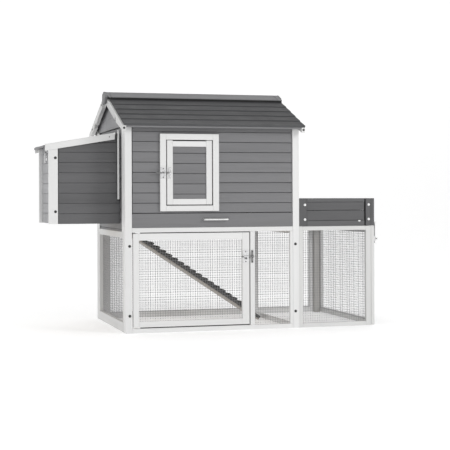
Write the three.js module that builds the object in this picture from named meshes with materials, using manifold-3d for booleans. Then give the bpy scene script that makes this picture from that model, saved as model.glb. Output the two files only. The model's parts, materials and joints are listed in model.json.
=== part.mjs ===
// Raised wooden chicken coop: a house with a gable roof over a wire-mesh run, a nest box on the
// left side, a planter box over the right end of the run, a ramp, a pull-out tray and three doors.
// Millimetres, +Z up. The model is laid out from the front-left post's outer bottom corner, with
// +X along the length and +Y from the front to the back, and is centred at the very end.
import * as THREE from 'three';
import { mergeVertices } from 'three/addons/utils/BufferGeometryUtils.js';
import Module from 'manifold-3d';

const wasm = await Module();
wasm.setup();

// Driving dimensions
const GAP = 0.3; // between pieces that touch
const DEPTH = 904; // front face to rear face
const POST = 40; // square posts
const POST_TOP = 1178;
const MID_X = 990; // left side of the posts at the house's right end
const HOUSE_X = MID_X + POST; // right side of the house
const END_X = 1500; // right end of the planter
const DECK = 590; // top of the run frames, under the house
const RAIL = 26; // bottom rails and stiles of the run frames
const FRAME_T = 22; // frame thickness
const FRAME_Y = 1; // the front frames stand this far behind the posts' front
const MESH_T = 1.2; // wire mesh sheet
const MESH_LAP = 6; // mesh behind the frame's edge
const BOARD_PITCH = 57.7; // clapboards
const BOARD_LINE = 672.7; // one of the clapboards' foot lines
const BOARD_LEAN = 2; // a board's foot stands out by this much more than its head
const BOARD_GROOVE = 3;
const WALL_BOTTOM = 674;
const WALL_T = 13;
const EAVE_Y = -52;
const EAVE_Z = 1161; // underside of the roof at the eave
const ROOF_SLOPE = 0.396; // rise over run, 21.6 degrees
const ROOF_BOARDS = 6; // on each slope
const ROOF_T = 8;
const ROOF_LAP = 4;
const ROOF_X = { front: [-12, 1050], rear: [-22, 1050] }; // the rear slope starts further left
const BARGE = {
  tall: 48.5, end: 31, frontX: [-22, -GAP], rearX: [-39, -17], rightX: [HOUSE_X + GAP, 1049.7],
};
const NEST = { x: -403, front: 157, back: 598, bottom: 613, stile: 52, board: 12 };
const LID_SLOPE = 0.1673; // 9.5 degrees
const LID_UNDER = 1118; // underside of the lid, extended to the house wall
const LID = { x0: -430, x1: -27, t: 14, trim: 38 };

// Colours and finishes
const finish = (color, roughness, metalness = 0) => () =>
  new THREE.MeshStandardMaterial({ color, roughness, metalness });
const whitePaint = finish(0xe8e9ea, 0.55);
const wallPaint = finish(0x7c7c7f, 0.6);
const roofPaint = finish(0x55565a, 0.7);
const planterPaint = finish(0x626265, 0.65);
const bareWood = finish(0xb9b1a4, 0.75);
const wireMesh = finish(0xc4c7ca, 0.4, 0.7);
const zinc = finish(0xc9cbcd, 0.25, 0.9);
const aluminium = finish(0xd9dadc, 0.35, 0.8);
const trayMetal = finish(0xb4b7ba, 0.4, 0.8);

const coop = new THREE.Group();

// ---- geometry helpers ----

function add(name, geometry, material, parent = coop) {
  const mesh = new THREE.Mesh(geometry, material());
  mesh.name = name;
  parent.add(mesh);
  return mesh;
}

// A box from its lowest to its highest corner.
function box([x0, y0, z0], [x1, y1, z1]) {
  const geometry = new THREE.BoxGeometry(x1 - x0, y1 - y0, z1 - z0);
  return geometry.translate((x0 + x1) / 2, (y0 + y1) / 2, (z0 + z1) / 2);
}

function outline(points, holes = []) {
  const toPath = (Kind, list) => new Kind(list.map(([a, b]) => new THREE.Vector2(a, b)));
  const shape = toPath(THREE.Shape, points);
  shape.holes = holes.map((hole) => toPath(THREE.Path, hole));
  return shape;
}

const extrude = (shape, depth) =>
  new THREE.ExtrudeGeometry(shape, { depth, bevelEnabled: false, curveSegments: 6 });

// Outlines drawn in (y, z), (x, z) and (x, y), and extruded along the remaining axis.
function alongX(shape, x0, x1) {
  const turn = new THREE.Matrix4().makeBasis(
    new THREE.Vector3(0, 1, 0), new THREE.Vector3(0, 0, 1), new THREE.Vector3(1, 0, 0));
  return extrude(shape, x1 - x0).applyMatrix4(turn).translate(x0, 0, 0);
}
const alongY = (shape, y0, y1) => extrude(shape, y1 - y0).rotateX(Math.PI / 2).translate(0, y1, 0);
const alongZ = (shape, z0, z1) => extrude(shape, z1 - z0).translate(0, 0, z0);

const rectangle = (a0, b0, a1, b1) => [[a0, b0], [a1, b0], [a1, b1], [a0, b1]];

function toSolid(geometry) {
  const bare = geometry.clone();
  bare.deleteAttribute('normal');
  bare.deleteAttribute('uv');
  const merged = mergeVertices(bare, 1e-3);
  return new wasm.Manifold(new wasm.Mesh({
    numProp: 3,
    vertProperties: new Float32Array(merged.attributes.position.array),
    triVerts: new Uint32Array(merged.index.array),
  }));
}

function fromSolid(solid) {
  const mesh = solid.getMesh();
  const geometry = new THREE.BufferGeometry();
  geometry.setAttribute('position', new THREE.BufferAttribute(new Float32Array(mesh.vertProperties), 3));
  geometry.setIndex(new THREE.BufferAttribute(new Uint32Array(mesh.triVerts), 1));
  geometry.computeVertexNormals();
  return geometry;
}

const join = (...parts) => fromSolid(parts.map(toSolid).reduce((a, b) => a.add(b)));
const cut = (body, ...tools) => fromSolid(tools.map(toSolid).reduce((a, b) => a.subtract(b), toSolid(body)));

// A round bar between two ends, along X, Y or Z.
function rod(radius, axis, from, to, [a, b], sides = 16) {
  const geometry = new THREE.CylinderGeometry(radius, radius, to - from, sides);
  const middle = (from + to) / 2;
  if (axis === 'x') return geometry.rotateZ(Math.PI / 2).translate(middle, a, b);
  if (axis === 'y') return geometry.translate(a, middle, b);
  return geometry.rotateX(Math.PI / 2).translate(a, b, middle);
}

// Lapped boards between two heights: the face leans out from each board's top to its foot, and
// a narrow groove runs above each foot line. Depths are measured outward from the inner face.
function clapboards(bottom, top, thickness) {
  const [lean, groove] = [BOARD_LEAN, BOARD_GROOVE];
  const points = [[0, bottom]];
  const firstLine = Math.floor((bottom - BOARD_LINE) / BOARD_PITCH + 1e-6) + 1;
  let foot = bottom;
  for (let line = firstLine; ; line += 1) {
    const lineZ = BOARD_LINE + line * BOARD_PITCH;
    const end = Math.min(lineZ, top);
    const rise = (end - foot) / BOARD_PITCH;
    points.push([thickness, foot], [thickness - lean * rise, end]);
    if (lineZ >= top - groove) {
      points[points.length - 1] = [thickness - lean * (top - foot) / BOARD_PITCH, top];
      break;
    }
    points.push([thickness - lean - groove, end], [thickness - lean - groove, end + groove]);
    foot = end + groove;
  }
  points.push([0, top]);
  return points;
}

// The same wall facing the front, the back, the left or the right.
function wall(facing, innerFace, [from, to], [bottom, top], thickness = WALL_T) {
  const outward = facing === 'front' || facing === 'left' ? -1 : 1;
  const points = clapboards(bottom, top, thickness).map(([d, z]) => [innerFace + outward * d, z]);
  if (facing === 'front' || facing === 'back') return alongX(outline(points), from, to);
  return alongY(outline(points), from, to);
}

// A flat frame with rectangular windows, standing across Y or across X.
function frameAcrossY([ax, az, bx, bz], windows, y0, y1) {
  const tools = windows.map(([x0, z0, x1, z1]) => box([x0, y0 - 1, z0], [x1, y1 + 1, z1]));
  return cut(box([ax, y0, az], [bx, y1, bz]), ...tools);
}
function frameAcrossX([ay, az, by, bz], windows, x0, x1) {
  const tools = windows.map(([y0, z0, y1, z1]) => box([x0 - 1, y0, z0], [x1 + 1, y1, z1]));
  return cut(box([x0, ay, az], [x1, by, bz]), ...tools);
}

const roofUnder = (y) => EAVE_Z + (Math.min(y, DEPTH - y) - EAVE_Y) * ROOF_SLOPE;
const lidUnder = (x) => LID_UNDER + x * LID_SLOPE;

// ---- posts and the frames of the run ----

function posts() {
  const post = (name, x, y, top) =>
    add(name, box([x, y, 0], [x + POST, y + POST, top]), whitePaint);
  post('post_front_left', 0, 0, POST_TOP);
  post('post_rear_left', 0, DEPTH - POST, POST_TOP);
  post('post_front_mid', MID_X, 0, POST_TOP);
  post('post_rear_mid', MID_X, DEPTH - POST, POST_TOP);
  post('post_rear_right', 1439, DEPTH - POST, DECK - 1);
}

const DOOR_TOP = 564;
const MULLION = [732, 759.5];
const MID_WINDOW = [MULLION[1], RAIL, 973.5, DOOR_TOP];
const LEFT_WINDOW = [79, 55, 825, 533]; // y0, z0, y1, z1
const REAR_WINDOW = [80, 40, 950, 550];
const PLANTER_WINDOW = [1052, RAIL, 1447, 565];
const PLANTER_REAR_WINDOW = [1058, 40, 1409, 550];
const REAR_Y = DEPTH - FRAME_Y - FRAME_T;

function runFrames() {
  const left = POST + GAP;
  const right = MID_X - GAP;
  // The front frame is open on the left, where the door hangs beside the post.
  const doorway = [left - 1, RAIL, MULLION[0], DOOR_TOP];
  add('run_front_frame',
    frameAcrossY([left, 0, right, DECK], [doorway, MID_WINDOW], FRAME_Y, FRAME_Y + FRAME_T), whitePaint);
  add('run_left_frame', frameAcrossX([POST + GAP, 0, DEPTH - POST - GAP, 568], [LEFT_WINDOW], 2, 2 + FRAME_T),
    whitePaint);
  add('run_rear_frame', frameAcrossY([left, 0, right, DECK], [REAR_WINDOW], REAR_Y, REAR_Y + FRAME_T),
    whitePaint);
  add('planter_front_frame',
    frameAcrossY([HOUSE_X + GAP, 0, 1479, DECK - 1], [PLANTER_WINDOW], FRAME_Y, FRAME_Y + FRAME_T),
    whitePaint);
  add('planter_rear_frame',
    frameAcrossY([HOUSE_X + GAP, 0, 1439 - GAP, DECK - 1], [PLANTER_REAR_WINDOW], REAR_Y, REAR_Y + FRAME_T),
    whitePaint);
  // A ring of rails between the two middle posts, open for the birds to pass.
  add('passage_frame',
    frameAcrossX([POST + GAP, 0, DEPTH - POST - GAP, DECK - GAP], [[70, RAIL, DEPTH - 70, 550]], MID_X + 2,
      MID_X + 2 + FRAME_T), whitePaint);
}

function runMeshes() {
  const lap = ([a0, b0, a1, b1]) => [a0 - MESH_LAP, b0 - MESH_LAP, a1 + MESH_LAP, b1 + MESH_LAP];
  const sheetY = (name, window, y) => {
    const [x0, z0, x1, z1] = lap(window);
    add(name, box([x0, y, z0], [x1, y + MESH_T, z1]), wireMesh);
  };
  const behindFront = FRAME_Y + FRAME_T + GAP;
  const beforeRear = REAR_Y - GAP - MESH_T;
  sheetY('mesh_run_front', MID_WINDOW, behindFront);
  sheetY('mesh_planter_front', PLANTER_WINDOW, behindFront);
  sheetY('mesh_run_rear', REAR_WINDOW, beforeRear);
  sheetY('mesh_planter_rear', PLANTER_REAR_WINDOW, beforeRear);
  const [y0, z0, y1, z1] = lap(LEFT_WINDOW);
  const x = 2 + FRAME_T + GAP;
  add('mesh_run_left', box([x, y0, z0], [x + MESH_T, y1, z1]), wireMesh);
}

// ---- doors and barrel bolts ----

// A barrel bolt drawn with its rod along +X from the plate's middle, and its plate facing -Y.
// The rod slides back along -X, and its knob's stem travels in a slot that is open at that end.
const BOLT = { plateL: 34, plateT: 2, bossR: 7, rodR: 4, rodY: -8, keeperL: 12 };

const aboutRod = (geometry, tilt) =>
  geometry.translate(0, -BOLT.rodY, 0).rotateX(tilt).translate(0, BOLT.rodY, 0);

function boltBody(length, plateH, tilt = 0) {
  const { plateL, plateT, bossR, rodR, rodY } = BOLT;
  const plate = box([-plateL / 2, -plateT, -plateH / 2], [plateL / 2, 0, plateH / 2]);
  const barrel = rod(bossR, 'x', -length / 2, length / 2, [rodY, 0], 20);
  const saddle = box([-length / 2, rodY, -bossR], [length / 2, -plateT / 2, bossR]);
  const bore = rod(rodR + 0.4, 'x', -length, length, [rodY, 0], 20);
  const slot = aboutRod(box([-length, rodY - 12, -2.6], [3, rodY, 2.6]), tilt);
  return cut(join(plate, barrel, saddle), bore, slot);
}

function boltRod(from, to, tilt = 0) {
  const { rodR, rodY } = BOLT;
  const knob = aboutRod(rod(4.6, 'y', rodY - 16, rodY - 10, [0, 0], 16), tilt);
  const stem = aboutRod(rod(2, 'y', rodY - 12, rodY, [0, 0], 12), tilt);
  return join(rod(rodR, 'x', from, to, [rodY, 0], 20), stem, knob);
}

function boltKeeper(plateH) {
  const { plateT, bossR, rodR, rodY, keeperL } = BOLT;
  const half = keeperL / 2;
  const plate = box([-half, -plateT, -plateH / 2], [half, 0, plateH / 2]);
  const loop = rod(bossR, 'x', 1 - half, half - 1, [rodY, 0], 20);
  const saddle = box([1 - half, rodY, -bossR], [half - 1, -plateT / 2, bossR]);
  return cut(join(plate, loop, saddle), rod(rodR + 0.6, 'x', -keeperL, keeperL, [rodY, 0], 20));
}

const RUN_DOOR = { x0: 46, x1: 726, z0: 32, z1: 559, window: [79, 66, 684, 519.5] };
const RUN_BOLT = { x: 704, z: 420, plateH: 72, knobTilt: 60 };

function runDoor() {
  const { x0, x1, z0, z1, window } = RUN_DOOR;
  add('run_door_frame', frameAcrossY([x0, z0, x1, z1], [window], FRAME_Y, FRAME_Y + FRAME_T - 1), whitePaint);
  const [wx0, wz0, wx1, wz1] = window;
  const y = FRAME_Y + FRAME_T - 1 + GAP;
  add('run_door_mesh', box([wx0 - 5, y, wz0 - 5], [wx1 + 5, y + MESH_T, wz1 + 5]), wireMesh);

  const bolt = new THREE.Group();
  bolt.position.set(RUN_BOLT.x, FRAME_Y - GAP, RUN_BOLT.z);
  coop.add(bolt);
  const knobTilt = THREE.MathUtils.degToRad(RUN_BOLT.knobTilt);
  add('run_bolt_body', boltBody(30, RUN_BOLT.plateH, knobTilt), zinc, bolt);
  add('run_bolt_rod', boltRod(-26, 46, knobTilt), zinc, bolt);
  add('run_bolt_keeper', boltKeeper(RUN_BOLT.plateH), zinc, bolt).position.x = 39;
}

const SIDE_DOOR = { x0: 1479.6, z0: 2, z1: DECK - 2, stile: 50, bottomRail: 32, topRail: 40 };
const SIDE_BOLT = { y: 18, z: 512, plateH: 30 };

function sideDoor() {
  const { x0, z0, z1, stile, bottomRail, topRail } = SIDE_DOOR;
  const window = [stile, z0 + bottomRail, DEPTH - stile, z1 - topRail];
  add('side_door_frame', frameAcrossX([0, z0, DEPTH, z1], [window], x0, END_X), whitePaint);
  const [y0, wz0, y1, wz1] = window;
  add('side_door_mesh', box([x0 - GAP - MESH_T, y0 - MESH_LAP, wz0 - MESH_LAP],
    [x0 - GAP, y1 + MESH_LAP, wz1 + MESH_LAP]), wireMesh);

  // The bolt stands upright on the door's outer face, and its rod slides up into the keeper.
  const bolt = new THREE.Group();
  bolt.position.set(END_X + GAP, SIDE_BOLT.y, SIDE_BOLT.z);
  bolt.rotation.set(0, -Math.PI / 2, Math.PI / 2, 'ZYX');
  coop.add(bolt);
  add('side_bolt_body', boltBody(30, SIDE_BOLT.plateH), zinc, bolt);
  add('side_bolt_rod', boltRod(-26, 100), zinc, bolt);
  add('side_bolt_keeper', boltKeeper(SIDE_BOLT.plateH), zinc, bolt).position.x = 96;
}

const SURROUND = { x0: 201, x1: 544, z0: 683, z1: 1120, y0: -9.3, y1: 4.7 };
const SURROUND_WINDOW = [236, 716, 508, 1086];
const HOUSE_DOOR = { x0: 239.5, x1: 503.5, z0: 719, z1: 1083, window: [273.5, 752, 470, 1048] };
const HOUSE_BOLT = { x: 218, z: 899, plateH: 62 };

function houseDoor() {
  const { x0, x1, z0, z1, window } = HOUSE_DOOR;
  const s = SURROUND;
  add('house_door_surround',
    frameAcrossY([s.x0, s.z0, s.x1, s.z1], [SURROUND_WINDOW], s.y0, s.y1), whitePaint);
  const leafFront = s.y0 + GAP;
  const leafBack = leafFront + 16;
  add('house_door_frame', frameAcrossY([x0, z0, x1, z1], [window], leafFront, leafBack), whitePaint);
  const [wx0, wz0, wx1, wz1] = window;
  add('house_door_panel',
    wall('front', leafBack - 1, [wx0 + GAP, wx1 - GAP], [wz0 + GAP, wz1 - GAP], 10), wallPaint);

  // The bolt sits on the surround, and its rod runs to the right into the keeper on the door.
  const bolt = new THREE.Group();
  bolt.position.set(HOUSE_BOLT.x, s.y0 - GAP, HOUSE_BOLT.z);
  coop.add(bolt);
  add('house_bolt_body', boltBody(22, HOUSE_BOLT.plateH), zinc, bolt);
  add('house_bolt_rod', boltRod(-46, 44), zinc, bolt);
  add('house_bolt_keeper', boltKeeper(HOUSE_BOLT.plateH), zinc, bolt).position.x = 38;
}

// ---- house ----

const HATCH = [110, 480, 330, 670]; // x0, y0, x1, y1
const NEST_HOLE = [195, 650, 560, 1000]; // y0, z0, y1, z1

function house() {
  const inside = POST + 2 * GAP;
  const sideIn = 17.6;
  const frontIn = 20.6;
  const backIn = 884.4;
  const farX = HOUSE_X - sideIn;
  // The floor fills the plan between the walls, notched around the four posts.
  const plan = [
    [inside, frontIn], [MID_X - GAP * 2, frontIn], [MID_X - GAP * 2, inside], [farX, inside],
    [farX, DEPTH - inside], [MID_X - GAP * 2, DEPTH - inside], [MID_X - GAP * 2, backIn], [inside, backIn],
    [inside, DEPTH - inside], [sideIn + 8, DEPTH - inside], [sideIn + 8, inside], [inside, inside],
  ];
  add('house_floor', alongZ(outline(plan, [rectangle(...HATCH)]), DECK + GAP, DECK + GAP + 12), bareWood);

  const wallSpan = [POST + GAP, MID_X - GAP];
  const sideSpan = [POST + GAP, DEPTH - POST - GAP];
  const top = POST_TOP;
  const doorCut = box([230, -5, 710], [514, 40, 1092]);
  add('wall_front', cut(wall('front', 18, wallSpan, [WALL_BOTTOM, top]), doorCut), wallPaint);
  add('wall_rear', wall('back', DEPTH - 18, wallSpan, [DECK + GAP, top]), wallPaint);
  const [ny0, nz0, ny1, nz1] = NEST_HOLE;
  add('wall_left', cut(wall('left', 17, sideSpan, [568 + GAP, POST_TOP - 15]),
    box([-5, ny0, nz0], [30, ny1, nz1])), wallPaint);
  add('wall_right', wall('right', HOUSE_X - 17, sideSpan, [DECK + GAP, POST_TOP - 15]), wallPaint);

  const gableFoot = POST_TOP - 15 + GAP;
  const [y0, y1] = sideSpan;
  const gable = [
    [y0, gableFoot], [y1, gableFoot], [y1, roofUnder(y1) - GAP],
    [DEPTH / 2, roofUnder(DEPTH / 2) - GAP], [y0, roofUnder(y0) - GAP],
  ];
  add('gable_left', alongX(outline(gable), 4, 16), wallPaint);
  add('gable_right', alongX(outline(gable), HOUSE_X - 16, HOUSE_X - 4), wallPaint);
}

// ---- roof ----

// Half of the roof in section, from the eave up to the ridge, with its boards lapped like slates.
function slopeSection() {
  const length = Math.hypot(1, ROOF_SLOPE);
  const cos = 1 / length;
  const sin = ROOF_SLOPE / length;
  const ridge = DEPTH / 2 - GAP / 2;
  const at = (s, n) => [EAVE_Y + s * cos - n * sin, EAVE_Z + s * sin + n * cos];
  const underEnd = (ridge - EAVE_Y) / cos;
  const topEnd = (ridge - EAVE_Y + ROOF_T * sin) / cos;
  const points = [at(0, 0)];
  for (let board = 0; board < ROOF_BOARDS; board += 1) {
    points.push(at(topEnd * board / ROOF_BOARDS, ROOF_T + ROOF_LAP));
    points.push(at(topEnd * (board + 1) / ROOF_BOARDS, ROOF_T));
  }
  points.push(at(underEnd, 0));
  return points;
}

const mirrorY = (points) => points.map(([y, z]) => [DEPTH - y, z]);

// A batten that hangs under a slope's eave, between the barge boards.
function eaveBatten(mirror) {
  const y = EAVE_Y + 2;
  const section = [[y, EAVE_Z - 8.5], [y + 18, EAVE_Z - 8.5], [y + 18, EAVE_Z + 9], [y, EAVE_Z + 2]];
  return alongX(outline(mirror ? mirrorY(section) : section), 0.5, HOUSE_X - 0.5);
}

// One leg of a pair of barge boards, from the eave to a place near the ridge, with a small notch
// in its lower edge and a lower edge that rises toward the eave.
function bargeLeg(upper, [x0, x1], mirror) {
  const end = EAVE_Y + 2;
  const low = (y) => roofUnder(y) - BARGE.tall;
  const leg = [
    [end, roofUnder(end) - GAP], [end, roofUnder(end) - BARGE.end], [142, low(142)], [146, low(146) + 20],
    [182, low(182) + 20], [186, low(186)], [upper, low(upper)], [upper, roofUnder(upper) - GAP],
  ];
  return alongX(outline(mirror ? mirrorY(leg) : leg), x0, x1);
}

function roof() {
  const section = slopeSection();
  const slope = (name, points, [x0, x1], mirror) =>
    add(name, join(alongX(outline(points), x0, x1), eaveBatten(mirror)), roofPaint);
  slope('roof_front', section, ROOF_X.front, false);
  slope('roof_rear', mirrorY(section), ROOF_X.rear, true);

  // The cap is a shallow V over the ridge. Its left end is closed by a plate over the gable's
  // peak, with its lower front corner cut away, and its right end by a thinner five-sided plate.
  const mid = DEPTH / 2;
  const ridgeUnder = roofUnder(mid);
  const half = 86;
  const lift = 15;
  const capT = 12.5;
  const cap = [
    [mid, ridgeUnder + lift], [mid + half, ridgeUnder + lift - half * ROOF_SLOPE],
    [mid + half + 4, ridgeUnder + lift + capT - (half + 4) * ROOF_SLOPE], [mid, ridgeUnder + lift + capT],
    [mid - half - 4, ridgeUnder + lift + capT - (half + 4) * ROOF_SLOPE],
    [mid - half, ridgeUnder + lift - half * ROOF_SLOPE],
  ];
  const peak = ridgeUnder + lift + capT + 2;
  const leftPlateX = [BARGE.frontX[0] - GAP - 16, BARGE.frontX[0] - GAP];
  const rightPlateX = [ROOF_X.front[1] + GAP, ROOF_X.front[1] + GAP + 5];
  const leftPlate = [
    [mid - 28, 1318], [mid + 43, 1318], [mid + 43, peak - 17], [mid, peak], [mid - 66, peak - 26],
    [mid - 66, peak - 37],
  ];
  const rightPlate = [
    [mid - 62, 1338], [mid + 62, 1338], [mid + 62, peak - 62 * ROOF_SLOPE], [mid, peak],
    [mid - 62, peak - 62 * ROOF_SLOPE],
  ];
  add('ridge_cap', join(
    alongX(outline(cap), leftPlateX[1] - 1, rightPlateX[0] + 1),
    alongX(outline(leftPlate), ...leftPlateX), alongX(outline(rightPlate), ...rightPlateX)), roofPaint);

  // White barge boards under the roof's edge on both gables. On the left the rear board stands
  // further out than the front one, and a thinner tongue behind the cap's plate joins them.
  const rearStart = DEPTH - (mid + 43 + GAP);
  const [outer, inner] = BARGE.rearX;
  add('barge_left', join(
    bargeLeg(mid, BARGE.frontX, false), bargeLeg(rearStart, [outer, inner], true),
    bargeLeg(mid, [BARGE.frontX[0], inner], true)), whitePaint);
  add('barge_right', join(bargeLeg(mid, BARGE.rightX, false), bargeLeg(mid, BARGE.rightX, true)), whitePaint);
}

// ---- tray ----

function tray() {
  add('tray_front', box([POST + 1, 2, DECK + 0.6], [MID_X - 1, 20, 670.6]), wallPaint);
  const pan = { x0: 345, x1: 985, y0: 20 + GAP, y1: 860, z0: DECK + 12.9, z1: 655, wall: 3 };
  add('tray_pan', cut(box([pan.x0, pan.y0, pan.z0], [pan.x1, pan.y1, pan.z1]),
    box([pan.x0 + pan.wall, pan.y0 + pan.wall, pan.z0 + pan.wall],
      [pan.x1 - pan.wall, pan.y1 - pan.wall, pan.z1 + 10])), trayMetal);
  // A bar handle on two short legs.
  const legs = [476, 574].map((x) => rod(4, 'y', -22, 2 - GAP, [x, 635], 12));
  add('tray_handle', join(rod(5, 'x', 458, 592, [-22, 635], 16), ...legs), aluminium);
}

// ---- nest box ----

// Everything above the lid's underside, as a tool to cut the sloped tops.
function aboveLid() {
  const far = -600;
  const points = [[far, lidUnder(far) - 0.8], [50, lidUnder(50) - 0.8], [50, 1600], [far, 1600]];
  return alongY(outline(points), 0, DEPTH);
}

function nestBox() {
  const n = NEST;
  const wallTop = lidUnder(20) + 5;
  const stileIn = n.x + n.stile;
  const panelX = [stileIn + GAP, 3.2];
  add('nest_wall_front', cut(wall('front', n.front + 17, panelX, [n.bottom, wallTop], n.board), aboveLid()),
    wallPaint);
  add('nest_wall_rear', cut(wall('back', n.back - 17, panelX, [n.bottom, wallTop], n.board), aboveLid()),
    wallPaint);
  add('nest_stile_front',
    cut(box([n.x, n.front, n.bottom], [stileIn, n.front + 17, wallTop]), aboveLid()), whitePaint);
  add('nest_stile_rear',
    cut(box([n.x, n.back - 17, n.bottom], [stileIn, n.back, wallTop]), aboveLid()), whitePaint);
  const innerY = [n.front + 17 + GAP, n.back - 17 - GAP];
  add('nest_wall_outer', cut(wall('left', n.x + 30, innerY, [n.bottom, wallTop], n.board), aboveLid()),
    wallPaint);
  add('nest_floor', box([n.x + 30 + GAP, innerY[0], n.bottom], [3.2, innerY[1], n.bottom + 12]), bareWood);

  const t = LID.t;
  const slab = [
    [LID.x0, lidUnder(LID.x0)], [LID.x1, lidUnder(LID.x1)],
    [LID.x1, lidUnder(LID.x1) + t], [LID.x0, lidUnder(LID.x0) + t],
  ];
  add('nest_lid', alongY(outline(slab), n.front, n.back), roofPaint);
  const trimTop = t + 3;
  const trimX = LID.x0 + 6;
  const trim = [
    [trimX, lidUnder(trimX) + trimTop - LID.trim], [LID.x1, lidUnder(LID.x1) + trimTop - LID.trim],
    [LID.x1, lidUnder(LID.x1) + trimTop], [trimX, lidUnder(trimX) + trimTop],
  ];
  add('lid_trim_front', alongY(outline(trim), n.front - 12.3, n.front - GAP), whitePaint);
  add('lid_trim_rear', alongY(outline(trim), n.back + GAP, n.back + 12.3), whitePaint);

  // The lever of the draw latch, hinged low on the outer wall and reaching up to the lid.
  const latchX = n.x + 30 - n.board - 1.5;
  const latchY = (n.front + n.back) / 2;
  const lever = [
    [latchX - 9, 965], [latchX - 8, 961.5], [latchX - 5, 960.5], [latchX - 2, 961.5], [latchX - 1, 965],
    [latchX - 1, 975], [latchX - 4, 980], [latchX - 4, 1018], [latchX - 9, 1018],
  ];
  add('nest_latch_lever', alongY(outline(lever), latchY - 9, latchY + 9), zinc);

  // The prop that holds the lid open hangs from its top end beside the house wall.
  add('lid_prop', box([-16, 126, 743], [-6, 136, 1145]), whitePaint);
}

// ---- ramp ----

// The board's underside and top are measured from the hinge's line, square to the board.
const RAMP = { hinge: [104, 578], slope: 33.6, length: 1013, y0: 500, y1: 650, under: -19.5, top: 6 };
const CLEATS = { first: 92, pitch: 45, count: 20, width: 16, top: 19.5 };

function ramp() {
  const group = new THREE.Group();
  group.position.set(RAMP.hinge[0], RAMP.y0, RAMP.hinge[1]);
  group.rotation.y = THREE.MathUtils.degToRad(RAMP.slope);
  coop.add(group);
  const width = RAMP.y1 - RAMP.y0;
  const board = box([-8, 0, RAMP.under], [RAMP.length, width, RAMP.top]);
  const cleats = [];
  for (let i = 0; i < CLEATS.count; i += 1) {
    const x = CLEATS.first + i * CLEATS.pitch;
    cleats.push(box([x, 1, RAMP.top - 0.5], [x + CLEATS.width, width - 1, CLEATS.top]));
  }
  add('ramp', join(board, ...cleats), bareWood, group);
}

// ---- planter ----

const PLANTER = { top: 752, wall: 18, floor: 14, recess: 5, x0: 1077, x1: 1447, foot: 31, lip: 21, side: 48 };

function planter() {
  const { top, recess, x0, x1, side } = PLANTER;
  const left = HOUSE_X + GAP;
  const z0 = DECK + GAP;
  const shell = box([left, 0, z0], [END_X, DEPTH, top]);
  const cavity = box([left + PLANTER.wall, PLANTER.wall, z0 + PLANTER.floor],
    [END_X - PLANTER.wall, DEPTH - PLANTER.wall, top + 10]);
  // The front, back and right panels are set back inside corner boards and rails.
  const [low, high] = [z0 + PLANTER.foot, top - PLANTER.lip];
  const faceFront = box([x0, -5, low], [x1, recess, high]);
  const faceBack = box([x0, DEPTH - recess, low], [x1, DEPTH + 5, high]);
  const faceRight = box([END_X - recess, side, low], [END_X + 5, DEPTH - side, high]);
  // The front panel is two boards with a narrow joint between them.
  const jointZ = 682;
  const joint = box([x0, -5, jointZ - 1.2], [x1, recess + 2.5, jointZ + 1.2]);
  add('planter_box', cut(shell, cavity, faceFront, faceBack, faceRight, joint), planterPaint);
}

posts();
runFrames();
runMeshes();
runDoor();
sideDoor();
houseDoor();
house();
roof();
tray();
nestBox();
ramp();
planter();

// The origin is the middle of the coop's footprint, on the ground.
const bounds = new THREE.Box3().setFromObject(coop);
const centre = bounds.getCenter(new THREE.Vector3());
coop.position.set(-centre.x, -centre.y, -bounds.min.z);

export default coop;
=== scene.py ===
import json
import math
import random

import bmesh
import bpy
from mathutils import Matrix, Vector


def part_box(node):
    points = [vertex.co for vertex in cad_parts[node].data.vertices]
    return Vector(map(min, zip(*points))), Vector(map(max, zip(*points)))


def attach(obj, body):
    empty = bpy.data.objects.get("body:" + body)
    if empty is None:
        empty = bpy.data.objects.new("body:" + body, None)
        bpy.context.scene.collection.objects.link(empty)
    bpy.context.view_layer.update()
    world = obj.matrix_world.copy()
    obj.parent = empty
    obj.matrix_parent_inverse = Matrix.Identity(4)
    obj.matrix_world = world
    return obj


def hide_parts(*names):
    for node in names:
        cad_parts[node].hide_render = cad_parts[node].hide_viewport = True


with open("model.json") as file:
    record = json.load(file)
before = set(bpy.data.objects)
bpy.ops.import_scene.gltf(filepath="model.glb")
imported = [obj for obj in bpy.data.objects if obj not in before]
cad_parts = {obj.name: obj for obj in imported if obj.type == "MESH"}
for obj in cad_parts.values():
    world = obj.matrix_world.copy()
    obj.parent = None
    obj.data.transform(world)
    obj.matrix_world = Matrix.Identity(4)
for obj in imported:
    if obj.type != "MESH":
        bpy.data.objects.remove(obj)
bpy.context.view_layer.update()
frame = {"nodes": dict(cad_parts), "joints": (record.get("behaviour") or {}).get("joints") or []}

# ---- sizes, in metres ----

MM = 0.001

BEVEL = 1.2 * MM
SMALL_BEVEL = 0.8 * MM
FINE_BEVEL = 0.3 * MM
SEAM = 0.25 * MM  # at each end of a rail between two stiles
STRIP_JOINT = 0.4 * MM  # between boards laid side by side

MESH_LAP = 6 * MM  # wire mesh hidden behind its frame
DOOR_MESH_LAP = 5 * MM
WIRE_PITCH = 14.6 * MM
WIRE_RADIUS = 0.70 * MM
WIRE_EDGE = 2 * MM  # from a sheet's edge to its first wire
WIRE_WANDER = 0.1  # in millimetres, either way
WIRE_SIDES = 6

BOARD_PITCH = 57.7 * MM  # clapboards
GROOVE = 3.0 * MM  # shadow line between clapboards
NEST_GROOVE = 1.2 * MM  # the nest box's boards are butted more closely
LEAN = 2.0 * MM  # a clapboard's foot stands out by this much
BACKING = 4 * MM  # the sheet behind the clapboards
CLAPBOARD_BEVEL = 0.9 * MM

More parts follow.
